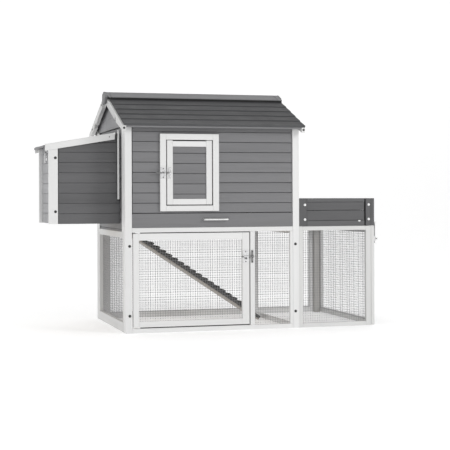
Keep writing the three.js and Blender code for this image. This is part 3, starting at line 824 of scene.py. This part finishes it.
def eave_batten(node, mid, side):
    """A batten under the eave, from one end of the house to the other."""
    eave_y, eave_z = eave()
    near = eave_y + 2 * MM
    far = near + BATTEN_WIDE
    foot = eave_z - BATTEN_DROP
    gap = 0.3 * MM
    points = [(near, foot), (far, foot), (far, under_roof(far) - gap), (near, under_roof(near) - gap)]
    x0 = box_of("post_front_left")[0].x + 0.5 * MM
    x1 = box_of("post_rear_mid")[1].x - 0.5 * MM
    piece = Piece(node + "_batten")
    piece.plate_yz(mirrored(points, mid, side), x0, x1, THROUGH, SMALL_BEVEL)
    piece.finish(RIDGE)


def left_soffit(mid):
    """A pale lining under the rear slope where it overhangs the left gable. Its pale paint is painted light:
    the underside there looks lit.
    """
    lo, hi = box_of("barge_left")
    start, end = eave()[0] + 4 * MM, mid - 1 * MM
    low, high = 4 * MM, 0.6 * MM
    points = [(start, under_roof(start) - low), (end, under_roof(mid) - low),
              (end, under_roof(mid) - high), (start, under_roof(start) - high)]
    piece = Piece("left_soffit")
    piece.plate_yz(mirrored(points, mid, -1), lo.x + 22.4 * MM, hi.x - 0.2 * MM, UPWARD, 0.4 * MM)
    piece.finish(PAINTED_LIGHT_WALL, slot="roof_paint")


def roof():
    mid = box_of("roof_front")[1].y
    for node, side in (("roof_front", 1), ("roof_rear", -1)):
        roof_slope(node, mid, side)
        eave_batten(node, mid, side)
    left_soffit(mid)


def ridge():
    """Two cap boards that meet at the ridge, with short end pieces, between two upright end plates."""
    lo, hi = box_of("ridge_cap")
    _, roof_hi = box_of("roof_front")
    mid = roof_hi.y
    peak = hi.z
    cap_top = peak - 2 * MM
    cosine = math.cos(ROOF_ANGLE)
    upright = CAP_BOARD / cosine  # a cap board's thickness, measured upright
    half = (hi.y - lo.y) / 2
    left_x = (lo.x, lo.x + 16 * MM)
    right_x = (hi.x - 5 * MM, hi.x)
    joint = 1.6 * MM
    gap = 0.3 * MM
    stops = [left_x[1] + gap, lo.x + 31 * MM, right_x[0] - 28 * MM, right_x[0] - gap]
    piece = Piece("ridge_boards")
    low = mid - half
    middle = mid - 0.2 * MM
    points = [(low, cap_top - half * ROOF_RISE),
              (low + 2 * MM, cap_top - upright - (half - 2 * MM) * ROOF_RISE),
              (middle, cap_top - upright), (middle, cap_top)]
    for side in (1, -1):
        for i, (x0, x1) in enumerate(zip(stops, stops[1:])):
            piece.plate_yz(mirrored(points, mid, side), x0 + (joint if i else 0), x1)
    rear = mid + 43 * MM
    front = mid - 66 * MM
    left = [(mid - 28 * MM, lo.z), (rear, lo.z), (rear, peak - 17 * MM), (mid, peak),
            (front, peak - 26 * MM), (front, peak - 37 * MM)]
    piece.plate_yz(left, *left_x, UPWARD, BEVEL)
    wide = 62 * MM
    foot = lo.z + 20 * MM
    right = [(mid - wide, foot), (mid + wide, foot), (mid + wide, peak - wide * ROOF_RISE),
             (mid, peak), (mid - wide, peak - wide * ROOF_RISE)]
    piece.plate_yz(right, *right_x, UPWARD)
    piece.finish(RIDGE, "ridge_cap")

    # A near-black strip under each side of the cap fills the gap down to the slope: painted shadow under the
    # cap's edge.
    roof_top = roof_hi.z + (ROOF_THICK - ROOF_THIN) / cosine
    near, far = low + 1.5 * MM, low + 40 * MM
    points = []
    for y, top, lift in ((near, roof_top, 0.5 * MM), (far, roof_top, 0.5 * MM),
                         (far, cap_top - upright, -gap), (near, cap_top - upright, -gap)):
        points.append((y, top - (mid - y) * ROOF_RISE + lift))
    x0, x1 = stops[0] + 11 * MM, stops[3] - 2 * MM
    shadow_strip = Piece("ridge_packing")
    for side in (1, -1):
        shadow_strip.plate_yz(mirrored(points, mid, side), x0, x1, THROUGH, FINE_BEVEL)
    shadow_strip.finish(SHADE)


def barge_leg(reach, mid, top, upper):
    """One leg's outline for the front side, reach from the ridge to its eave end, up to Y = upper.
    Its lower edge has a shallow notch near the eave."""
    def under(y):
        return top - (mid - y) * ROOF_RISE

    def low(y):
        return under(y) - BARGE_TALL

    end = mid - reach
    n0, n1, n2, n3 = [end + y * MM for y in (192, 196, 232, 236)]
    return [(end, under(end)), (end, under(end) - BARGE_END), (n0, low(n0)), (n1, low(n0) + BARGE_NOTCH),
            (n2, low(n2) + BARGE_NOTCH), (n3, low(n3)), (upper, low(upper)), (upper, under(upper))]


def barge_boards():
    lo, hi = box_of("barge_left")
    mid = (lo.y + hi.y) / 2
    reach = mid - lo.y
    middle = mid - 0.2 * MM
    front_x = (lo.x + 17 * MM, hi.x)
    rear_x = (lo.x, lo.x + 22 * MM)
    piece = Piece("barge_left_boards")
    piece.plate_yz(barge_leg(reach, mid, hi.z, middle), *front_x, UPWARD)
    rear = barge_leg(reach, mid, hi.z, mid - 43.3 * MM)
    piece.plate_yz(mirrored(rear, mid, -1), *rear_x, UPWARD)
    # Behind the ridge cap's plate a thin tongue carries on to the front board.
    y0, y1 = mid + 0.2 * MM, mid + 43 * MM
    fall = (y1 - mid) * ROOF_RISE
    under = hi.z - BARGE_TALL
    tongue = [(y0, under), (y1, under - fall), (y1, hi.z - fall), (y0, hi.z)]
    piece.plate_yz(tongue, front_x[0], rear_x[1], UPWARD, 0.4 * MM)
    # The left barge board takes the darker copy of the white paint: painted shade.
    piece.finish(PAINTED_SHADE_WHITE, "barge_left")

    lo, hi = box_of("barge_right")
    piece = Piece("barge_right_boards")
    for side in (1, -1):
        piece.plate_yz(mirrored(barge_leg(reach, mid, hi.z, middle), mid, side), lo.x, hi.x, UPWARD)
    piece.finish(WHITE, "barge_right")


# ---- house door, tray and floors ----


def house_door():
    lo, hi = box_of("house_door_frame")
    reveal, hinge_reveal, head_reveal = 4.4 * MM, 5.2 * MM, 3 * MM
    window = (lo.x - reveal, lo.z - reveal, hi.x + hinge_reveal, hi.z + head_reveal)
    frame_boards("house_door_surround_boards", "house_door_surround", "y", window)

    trim = 0.9 * MM  # the leaf's edges are planed back, which opens the joint around it
    lo = lo + Vector((trim, 0, trim))
    hi = hi - Vector((trim, 0, 0))
    panel_lo, panel_hi = box_of("house_door_panel")
    rail = (panel_lo.x + SEAM, panel_hi.x - SEAM)
    low_top = hi.z - 4 * MM  # the top rail stands a little below the stiles' ends
    piece = Piece("house_door_rails")
    whole = (lo.z, hi.z)
    piece.slabs("y", lo.y, hi.y, (
        ((lo.x, panel_lo.x), whole, "z"), ((panel_hi.x, hi.x), whole, "z"),
        (rail, (lo.z, panel_lo.z), "x"), (rail, (panel_hi.z, low_top), "x")))
    piece.finish(WHITE, "house_door_frame", body="house_door")


def tray_front():
    one_board("tray_front_board", *box_of("tray_front"), "x", 1.6 * MM, WALL, "tray_front", body="tray")


def tray_pan():
    """A folded sheet: a floor, four walls and a rolled rim."""
    lo, hi = box_of("tray_pan")
    skin = 1.0 * MM
    piece = Piece("tray_pan_sheet")
    piece.board(lo, (hi.x, hi.y, lo.z + skin), "x", FINE_BEVEL)
    for x0, y0, x1, y1 in ((lo.x, lo.y, hi.x, lo.y + skin), (lo.x, hi.y - skin, hi.x, hi.y),
                           (lo.x, lo.y + skin, lo.x + skin, hi.y - skin),
                           (hi.x - skin, lo.y + skin, hi.x, hi.y - skin)):
        piece.board((x0, y0, lo.z + skin), (x1, y1, hi.z - 2 * MM), "x", FINE_BEVEL)
    lip = 2.2 * MM
    x0, x1, y0, y1, z = lo.x + lip, hi.x - lip, lo.y + lip, hi.y - lip, hi.z - lip
    rim = [(x0, y0, z), (x1, y0, z), (x1, y1, z), (x0, y1, z), (x0, y0, z)]
    for start, end in zip(rim, rim[1:]):
        piece.bar([start, end], lip)
    piece.finish(SHEET, "tray_pan", body="tray")


def tray_handle():
    """One bar that bends into a short leg at each end."""
    lo, hi = box_of("tray_handle")
    radius = 5.5 * MM
    bend = 9 * MM
    steps = 6
    z = (lo.z + hi.z) / 2
    path = []
    for x, side in ((lo.x + 6 * MM, 1), (hi.x - 6 * MM, -1)):
        turn = [(x - side * bend, hi.y, z)]
        for step in range(steps + 1):
            a = math.pi / 2 * step / steps
            turn.append((x - side * bend * math.cos(a), lo.y + radius + bend - bend * math.sin(a), z))
        path += turn[::side]
    piece = Piece("tray_handle_bar")
    piece.bar(path, radius, 16)
    piece.finish(ALUMINIUM, "tray_handle", body="tray")


def house_floor():
    """Boards from end to end. The first and the last fit between posts, and the ramp's hatch is open."""
    lo, hi = box_of("house_floor")
    _, post_hi = box_of("post_front_left")
    rear_lo, _ = box_of("post_rear_mid")
    hatch_x, hatch_y = lo.x + 92.4 * MM, lo.y + 459.4 * MM
    hatch = (hatch_x, hatch_y, hatch_x + 220 * MM, hatch_y + 190 * MM)
    gap = 0.6 * MM  # between the floor and the posts
    inner_rows = 6
    start, end = post_hi.y + gap, rear_lo.y - gap
    rows = [start + (end - start) * i / inner_rows for i in range(inner_rows + 1)]
    rows = [lo.y] + rows + [hi.y]
    piece = Piece("house_floor_boards")
    for i, (y0, y1) in enumerate(zip(rows, rows[1:])):
        between_posts = i in (0, inner_rows + 1)
        x0 = post_hi.x + gap if between_posts else lo.x + 8 * MM
        x1 = rear_lo.x - gap if between_posts else hi.x
        for a0, b0, a1, b1 in cut_rects((x0, y0 + 0.3 * MM, x1, y1), [hatch]):
            piece.board((a0, b0, lo.z), (a1, b1, hi.z), "x", SMALL_BEVEL)
    piece.finish(PINE, "house_floor")


def nest_floor():
    lo, hi = box_of("nest_floor")
    piece = Piece("nest_floor_boards")
    for y0, y1 in strips(lo.y, hi.y, 4):
        piece.board((lo.x, y0, lo.z), (hi.x, y1, hi.z), "x", SMALL_BEVEL)
    piece.finish(PINE, "nest_floor")


# ---- nest box ----


def nest_stiles():
    for node in ("nest_stile_front", "nest_stile_rear"):
        lo, hi = box_of(node)
        points = [(lo.x, lo.z), (hi.x, lo.z), (hi.x, below_lid(hi.x)), (lo.x, below_lid(lo.x))]
        piece = Piece(node + "_board")
        piece.plate_xz(points, lo.y, hi.y, UPWARD)
        piece.finish(WHITE, node)


def lid_trims():
    for node in ("lid_trim_front", "lid_trim_rear"):
        lo, hi = box_of(node)
        rise = hi.z - lo.z - LID_TRIM_TALL
        points = [(lo.x, lo.z), (hi.x, lo.z + rise), (hi.x, hi.z), (lo.x, hi.z - rise)]
        piece = Piece(node + "_board")
        piece.plate_xz(points, lo.y, hi.y, (1, rise / (hi.x - lo.x), 0))
        piece.finish(WHITE, node, body="nest_lid")


def lid_boards():
    lo, hi = box_of("nest_lid")
    angle = math.atan(lid_slope())
    length = math.hypot(hi.x - lo.x, hi.z - lo.z - LID_THICK) - 2.4 * MM
    thick = LID_THICK * math.cos(angle) - 3 * MM
    turn = Matrix.Translation((lo.x, 0, lo.z)) @ Matrix.Rotation(-angle, 4, "Y")
    piece = Piece("nest_lid_boards")
    for y0, y1 in strips(lo.y, hi.y, 4):
        piece.board((0.0, y0, 0.0), (length, y1, thick), "x", 1.0 * MM, turn)
    piece.finish(RIDGE, "nest_lid", body="nest_lid")


def lid_prop():
    """The bar that props the lid, with a dark tip."""
    lo, hi = box_of("lid_prop")
    tip = 8 * MM
    bar_lo, tip_hi = (lo.x, lo.y, lo.z + tip), (hi.x, hi.y, lo.z + tip)
    one_board("lid_prop_bar", bar_lo, hi, "z", 1.6 * MM, WHITE, "lid_prop", body="lid_prop")
    one_board("lid_prop_tip", lo, tip_hi, "z", 2.6 * MM, DARK_CAP, body="lid_prop")


# ---- ramp ----


def ramp():
    """A deck with cleats on a bare underside, in a frame whose X runs down the slope from the hinge."""
    lo, hi = box_of("ramp")
    hinge = joint_at("ramp_lift")
    turn = Matrix.Translation((hinge.x, 0, hinge.z)) @ Matrix.Rotation(math.radians(RAMP_SLOPE), 4, "Y")
    back = 8 * MM
    under, split, top, cleat_top = -19.5 * MM, -13 * MM, 6 * MM, 19.5 * MM
    deck = Piece("ramp_deck")
    deck.board((-back, lo.y, split), (RAMP_LENGTH, hi.y, top), "x", BEVEL, turn)
    first, pitch, count, wide = 92 * MM, 45 * MM, 20, 17 * MM
    inset = 0.5 * MM
    for i in range(count):
        x = first + i * pitch + deck.random.uniform(-0.8, 0.8) * MM
        start = (x, lo.y + inset, top - 0.2 * MM)
        deck.board(start, (x + wide, hi.y - inset, cleat_top), "y", 1.4 * MM, turn)
    deck.finish(RAMP_DARK, "ramp", body="ramp")
    base = Piece("ramp_underside")
    base.board((-back, lo.y, under), (RAMP_LENGTH, hi.y, split - 0.2 * MM), "x", SMALL_BEVEL, turn)
    base.finish(GREY_PINE, body="ramp")


# ---- planter ----


def planter():
    """Corner boards, rails and recessed panels on the front, the rear and the right, a plain left side
    against the house, and a base of slats."""
    lo, hi = box_of("planter_box")
    left_corner, right_stile, side_corner = 47 * MM, 32 * MM, 48 * MM
    deep = 18 * MM  # thickness of the front and rear
    inset = 5 * MM  # of a panel
    seam = 0.8 * MM
    edge = 1.4 * MM
    recess = 9 * MM  # an open joint beside the right corner's board
    bottom, top = lo.z + 31 * MM, hi.z - 21 * MM
    middle = lo.z + 91.7 * MM
    split = 1.2 * MM
    x_right = hi.x - 21 * MM
    # Top rail, bottom rail, lower panel, upper panel: lowest and highest point, and how far back.
    levels = ((top, hi.z, 0), (lo.z, bottom, 0), (bottom + seam, middle - split, inset),
              (middle + split, top - seam, inset))
    piece = Piece("planter_boards")
    # Near-black strips behind the open joints beside the right corner boards: painted shade in the recesses.
    dark = Piece("planter_joint_backing")
    x0, x1 = lo.x + left_corner + seam, x_right - right_stile - recess
    for front in (True, False):
        def depth(back):
            return (lo.y + back, lo.y + deep) if front else (hi.y - deep, hi.y - back)

        y0, y1 = depth(0)
        piece.board((lo.x, y0, lo.z), (lo.x + left_corner, y1, hi.z), "z", edge)
        piece.board((x_right - right_stile, y0, lo.z), (x_right, y1, hi.z), "z", edge)
        y0, y1 = depth(inset)
        dark.board((x1 + 0.3 * MM, y0 + 3 * MM, lo.z + 1 * MM),
                   (x_right - 32.3 * MM, y1 - 3 * MM, hi.z - 1 * MM), "z", FINE_BEVEL)
        for z0, z1, back in levels:
            y0, y1 = depth(back)
            piece.board((x0, y0, z0), (x1, y1, z1), "x", edge)

    x0, x1 = x_right + 0.5 * MM, hi.x
    for y0, y1 in ((lo.y, lo.y + side_corner), (hi.y - side_corner, hi.y)):
        piece.board((x0, y0, lo.z), (x1, y1, hi.z), "z", edge)
    y0, y1 = lo.y + side_corner + seam, hi.y - side_corner - seam
    for z0, z1, back in levels:
        piece.board((x0, y0, z0), (x1 - back, y1, z1), "y", edge)
    for z0, z1 in ((lo.z, middle - seam), (middle + seam, hi.z)):
        piece.board((lo.x, lo.y + deep + seam, z0), (lo.x + deep, hi.y - deep - seam, z1), "y", edge)
    slats, gap, wall_gap = 6, 3 * MM, 0.5 * MM
    inside = hi.y - lo.y - 2 * deep
    for i in range(slats):
        y0 = lo.y + deep + inside * i / slats + (gap - wall_gap if i else wall_gap)
        y1 = lo.y + deep + inside * (i + 1) / slats - wall_gap
        piece.board((lo.x + deep + seam, y0, lo.z + 1 * MM), (x0 - seam, y1, lo.z + 14 * MM), "x", 1.0 * MM)
    piece.finish(PLANTER, "planter_box")
    dark.finish(SHADE, slot="planter_paint")


def planter_plug():
    """An oval drain plug, low on the front."""
    lo, _ = box_of("planter_box")
    place = Matrix.Translation((lo.x + 374.5 * MM, lo.y, lo.z + 28.5 * MM)) @ FACING["front"]
    place = place @ Matrix.Diagonal((1.3, 0.75, 1.0, 1.0))
    profile = [(r * MM, h * MM) for r, h in ((0, 0), (6, 0), (6, 2), (5, 3.2), (2.4, 3.8), (0, 3.8))]
    plug = Piece("planter_drain_plug")
    plug.lathe(profile, 28, place)
    plug.finish(WHITE_CAP)


# ---- screw caps and small hardware ----


def dome(piece, at, facing, radius=CAP_RADIUS, height=2.6 * MM):
    """A snap-on cap: a low rim and a shallow dome."""
    rim, shoulder = 0.7 * MM, 1.1 * MM
    dome_radius = radius * 0.93
    profile = [(0, 0), (radius, 0), (radius, rim), (dome_radius, shoulder)]
    steps = 5
    for i in range(1, steps):
        a = math.pi / 2 * i / steps
        profile.append((dome_radius * math.cos(a), shoulder + (height - shoulder) * math.sin(a)))
    profile.append((0, height))
    piece.lathe(profile, 24, Matrix.Translation(at) @ FACING[facing])


def screw(piece, at, facing, radius=3.2 * MM):
    """A countersunk screw head with a dished middle."""
    rim, top, dish = 0.4 * MM, 0.8 * MM, 0.25 * MM
    profile = [(0, 0), (radius, 0), (radius, rim), (radius * 0.8, top), (radius * 0.42, top),
               (radius * 0.3, dish), (0, dish)]
    piece.lathe(profile, 14, Matrix.Translation(at) @ FACING[facing])


def caps():
    """The dark caps on the posts, the barge boards and the nest box's stiles."""
    left_lo, _ = box_of("post_front_left")
    mid_lo, _ = box_of("post_front_mid")
    rear_y = box_of("post_rear_left")[1].y
    piece = Piece("post_caps")
    cap_heights = (488 * MM, 98 * MM)
    for lo, offset in ((left_lo, 26 * MM), (mid_lo, 16 * MM)):
        for z in cap_heights:
            dome(piece, (lo.x + offset, lo.y, z), "front")
            dome(piece, (lo.x + offset, rear_y, z), "back")

    barge_lo, barge_hi = box_of("barge_left")
    right_lo, right_hi = box_of("barge_right")
    mid_y = (barge_lo.y + barge_hi.y) / 2
    for reach, drop in ((60 * MM, 22 * MM), (378 * MM, 24 * MM)):
        z = barge_hi.z - reach * ROOF_RISE - drop
        dome(piece, (barge_lo.x, mid_y + reach, z), "left", 6 * MM)
        for side in (1, -1):
            dome(piece, (right_hi.x, mid_y - side * reach, z), "right", 6 * MM)
    eave_z = barge_hi.z - (mid_y - barge_lo.y) * ROOF_RISE - 14 * MM
    right_x = right_lo.x + 11 * MM
    for x, y, facing in ((left_lo.x - 12 * MM, barge_lo.y, "front"), (right_x, right_lo.y, "front"),
                         (left_lo.x - 29 * MM, barge_hi.y, "back"), (right_x, right_hi.y, "back")):
        dome(piece, (x, y, eave_z), facing, 6.5 * MM)

    for node, facing, end in (("nest_stile_front", "front", 0), ("nest_stile_rear", "back", 1)):
        box = box_of(node)
        for height in (373 * MM, 70 * MM):
            dome(piece, (box[1].x - 14 * MM, box[end].y, box[0].z + height), facing)
    piece.finish(DARK_CAP)


def planter_caps():
    lo, hi = box_of("planter_box")
    radius = 7.5 * MM
    piece = Piece("planter_caps")
    for z in (lo.z + 38.5 * MM, hi.z - 37.5 * MM):
        for x in (lo.x + 35 * MM, hi.x - 35 * MM):
            dome(piece, (x, lo.y, z), "front", radius)
            dome(piece, (x, hi.y, z), "back", radius)
        for y in (lo.y + 30 * MM, hi.y - 30 * MM):
            dome(piece, (hi.x, y, z), "right", radius)
    piece.finish(WHITE_CAP)


def bolt_screws():
    """Screws through the plates of the three barrel bolts and their keepers, one piece for each body."""
    pieces = {body: Piece(body + "_bolt_screws") for body in ("run_door", "root", "house_door", "side_door")}
    for node, body in (("run_bolt_body", "run_door"), ("run_bolt_keeper", "root"),
                       ("house_bolt_body", "root"), ("house_bolt_keeper", "house_door")):
        lo, hi = box_of(node)
        for z in (lo.z + 7 * MM, hi.z - 7 * MM):
            screw(pieces[body], ((lo.x + hi.x) / 2, hi.y - PLATE_THICK, z), "front")
    inset = 4.5 * MM
    lo, hi = box_of("side_bolt_body")
    for y in (lo.y + inset, hi.y - inset):
        for z in (lo.z + 6 * MM, hi.z - 6 * MM):
            screw(pieces["side_door"], (lo.x + PLATE_THICK, y, z), "right")
    lo, hi = box_of("side_bolt_keeper")
    for y in (lo.y + inset, hi.y - inset):
        screw(pieces["root"], (lo.x + PLATE_THICK, y, (lo.z + hi.z) / 2), "right")
    for body, piece in pieces.items():
        piece.finish(ZINC if body == "house_door" else SCREW, body=body)


def door_hinges():
    """The knuckles and pins of butt hinges, two for each door, on the line about which the door turns."""
    long = 46 * MM
    gap = 0.4 * MM
    pin_end = 1.5 * MM
    knuckles = 3
    for door in ("run_door", "side_door", "house_door"):
        lo, hi = box_of(door + "_frame")
        at = joint_at(door + "_swing")
        piece = Piece(door + "_hinges")
        inset = 0.13 * (hi.z - lo.z)
        for middle in (lo.z + inset + long / 2, hi.z - inset - long / 2):
            foot, head = middle - long / 2, middle + long / 2
            for i in range(knuckles):
                z0 = foot + long * i / knuckles
                ends = (z0 + gap, z0 + long / knuckles - gap)
                piece.bar([(at.x, at.y, z) for z in ends], KNUCKLE_RADIUS, 14)
            piece.bar([(at.x, at.y, z) for z in (foot - pin_end, head + pin_end)], 1.4 * MM)
        piece.finish(ZINC)


def lid_hinges():
    """A ledger on the house wall, and two hinges between it and the lid."""
    lo, hi = box_of("nest_lid")
    at = joint_at("nest_lid_lift")
    ledger_lo = (at.x + 3.5 * MM, lo.y + 1 * MM, at.z - 27 * MM)
    ledger_hi = (box_of("wall_left")[0].x - 0.3 * MM, hi.y - 1 * MM, at.z)
    one_board("nest_lid_ledger", ledger_lo, ledger_hi, "y", BEVEL, WALL)
    piece = Piece("nest_lid_hinges")
    half = 22 * MM
    for y in (lo.y + 70 * MM, hi.y - 70 * MM):
        piece.bar([(at.x, y + end, at.z + 1 * MM) for end in (-half, half)], KNUCKLE_RADIUS, 14)
        leaf_lo = (at.x + KNUCKLE_RADIUS, y - 21 * MM, at.z + 0.1 * MM)
        piece.board(leaf_lo, (at.x + half, y + 21 * MM, at.z + 1.4 * MM), "y", FINE_BEVEL)
    piece.finish(ZINC)


def lid_latch():
    """Two plates with screws on the nest box's outer wall, and a wire hook behind the latch's lever."""
    lo, hi = box_of("nest_latch_lever")
    wall_face = box_of("nest_wall_outer")[0].x
    mid = (lo.y + hi.y) / 2
    half = 22 * MM
    plate_x = (wall_face - 1.0 * MM, wall_face - 0.1 * MM)
    plates = Piece("nest_latch_plates")
    for z0, z1 in ((lo.z + 12 * MM, lo.z + 40 * MM), (hi.z + 4 * MM, hi.z + 28 * MM)):
        plates.board((plate_x[0], mid - half, z0), (plate_x[1], mid + half, z1), "z", FINE_BEVEL)
    plates.finish(ZINC)

    top = hi.z + 12 * MM
    out = lo.x + 2.5 * MM
    hook = Piece("nest_latch_hook")
    side = [(wall_face - 0.9 * MM, 12 * MM, top), (out + 2 * MM, 12 * MM, top - 7 * MM),
            (out, 10 * MM, top - 9 * MM)]
    path = [(x, mid - y, z) for x, y, z in side] + [(x, mid + y, z) for x, y, z in side[::-1]]
    hook.bar(path, 1.5 * MM)
    hook.finish(DULL_ZINC)

    heads = Piece("nest_latch_screws")
    for z in (lo.z + 34 * MM, hi.z + 22 * MM):
        for y in (mid - 17 * MM, mid + 17 * MM):
            screw(heads, (plate_x[0], y, z), "left")
    heads.finish(SCREW)


def lid_fittings():
    """A screw and a cap on the lid's front trim, and the bracket that holds the prop."""
    lo, hi = box_of("lid_trim_front")
    head = Piece("lid_trim_screw")
    screw(head, (hi.x - 32 * MM, lo.y, hi.z - 24 * MM), "front", 3 * MM)
    head.finish(SCREW, body="nest_lid")

    prop_lo, prop_hi = box_of("lid_prop")
    pivot = joint_at("lid_prop_swing")
    bracket_lo = (prop_lo.x - 9 * MM, prop_lo.y + 1 * MM, pivot.z - 36 * MM)
    bracket_hi = (prop_lo.x - 1 * MM, prop_hi.y - 1 * MM, pivot.z - 6 * MM)
    one_board("lid_prop_bracket", bracket_lo, bracket_hi, "z", 2 * MM, DARK_CAP)
    cap = Piece("lid_trim_cap")
    dome(cap, (hi.x - 3 * MM, lo.y, hi.z - 4 * MM), "front", 6 * MM, 4 * MM)
    cap.finish(WHITE_CAP, body="nest_lid")


def metal_nodes():
    """The CAD bolts, keepers and latch keep their shape and get a finer finish."""
    for name, node in frame["nodes"].items():
        dull = name.endswith("_bolt_rod") or name == "run_bolt_keeper"
        if dull or name.endswith(("_bolt_body", "_bolt_keeper")) or name == "nest_latch_lever":
            node.data.materials.clear()
            node.data.materials.append(DULL_ZINC if dull else ZINC)


# ---- stage, lights and camera ----

FLOOR_HALF = 14.0  # half its width, and its reach to the front
BACKDROP_Y = 9.0
BACKDROP_TOP = 9.0
SWEEP_RADIUS = 3.0
PAPER, PAPER_GLOW = 0.9, 0.34
WORLD_GLOW = 0.52
LIT_POINT = (0.0, 0.0, 0.7)
LIGHTS = (  # name, place, size, watts
    ("key", (5.3, -6.4, 3.8), 2.4, 220),
    ("front", (-1.0, -8.0, 0.8), 3.0, 60),
    ("left", (-6.5, -0.6, 2.0), 3.0, 62),
    ("top", (0.0, 0.6, 5.5), 4.0, 40),
)
CAMERA_FROM_CORNER = Vector((-1.305, -6.591, 0.761))  # from the front left post's foot
CAMERA_TURN = (90.0, 0.222, -15.97)  # degrees
CAMERA_LENS, CAMERA_SENSOR, CAMERA_SHIFT_Y = 96.0, 36.0, -0.0618


def paper():
    n = Nodes("studio_paper")
    cloud = n.noise(n.object_place(), 0.8, 2.0)
    n.surface("Base Color", n.mix(cloud, grey(PAPER * 0.99), grey(PAPER)))
    n.surface("Roughness", 0.9)
    n.surface("Emission Color", (1, 1, 1, 1))
    n.surface("Emission Strength", PAPER_GLOW)
    return n.material


def stage():
    """A pale floor that sweeps up into a backdrop."""
    bm = bmesh.new()
    start = BACKDROP_Y - SWEEP_RADIUS
    profile = [(-FLOOR_HALF, 0.0), (start, 0.0)]
    steps = 12
    for i in range(1, steps + 1):
        a = math.pi / 2 * i / steps
        profile.append((start + SWEEP_RADIUS * math.sin(a), SWEEP_RADIUS * (1 - math.cos(a))))
    profile.append((BACKDROP_Y, BACKDROP_TOP))
    rows = [[bm.verts.new((x, y, z)) for x in (-FLOOR_HALF, FLOOR_HALF)] for y, z in profile]
    for a, b in zip(rows, rows[1:]):
        bm.faces.new((a[0], a[1], b[1], b[0])).smooth = True
    mesh = bpy.data.meshes.new("studio_floor")
    bm.to_mesh(mesh)
    bm.free()
    mesh.materials.append(paper())
    link_object("studio_floor", mesh)


def lights():
    world = bpy.data.worlds.new("studio")
    world.use_nodes = True
    background = world.node_tree.nodes["Background"]
    background.inputs["Color"].default_value = (1.0, 1.0, 1.0, 1.0)
    background.inputs["Strength"].default_value = WORLD_GLOW
    bpy.context.scene.world = world
    for name, at, size, watts in LIGHTS:
        data = bpy.data.lights.new(name, "AREA")
        data.shape = "SQUARE"
        data.size = size
        data.energy = watts
        light = link_object(name, data)
        light.location = at
        light.rotation_euler = (Vector(LIT_POINT) - Vector(at)).to_track_quat("-Z", "Y").to_euler()


def camera():
    data = bpy.data.cameras.new("camera")
    data.sensor_width = CAMERA_SENSOR
    data.lens = CAMERA_LENS
    data.shift_y = CAMERA_SHIFT_Y
    data.clip_end = 60.0
    view = link_object("camera", data)
    view.location = box_of("post_front_left")[0] + CAMERA_FROM_CORNER
    view.rotation_euler = [math.radians(angle) for angle in CAMERA_TURN]
    bpy.context.scene.camera = view
    bpy.context.scene.view_settings.view_transform = "Standard"


posts()
corner_battens()
run_front()
frames()
meshes()
walls()
roof()
ridge()
barge_boards()
house_door()
tray_front()
tray_pan()
tray_handle()
house_floor()
nest_floor()
nest_stiles()
lid_trims()
lid_boards()
lid_prop()
ramp()
planter()
planter_plug()
caps()
planter_caps()
bolt_screws()
door_hinges()
lid_hinges()
lid_latch()
lid_fittings()
metal_nodes()
stage()
lights()
camera()
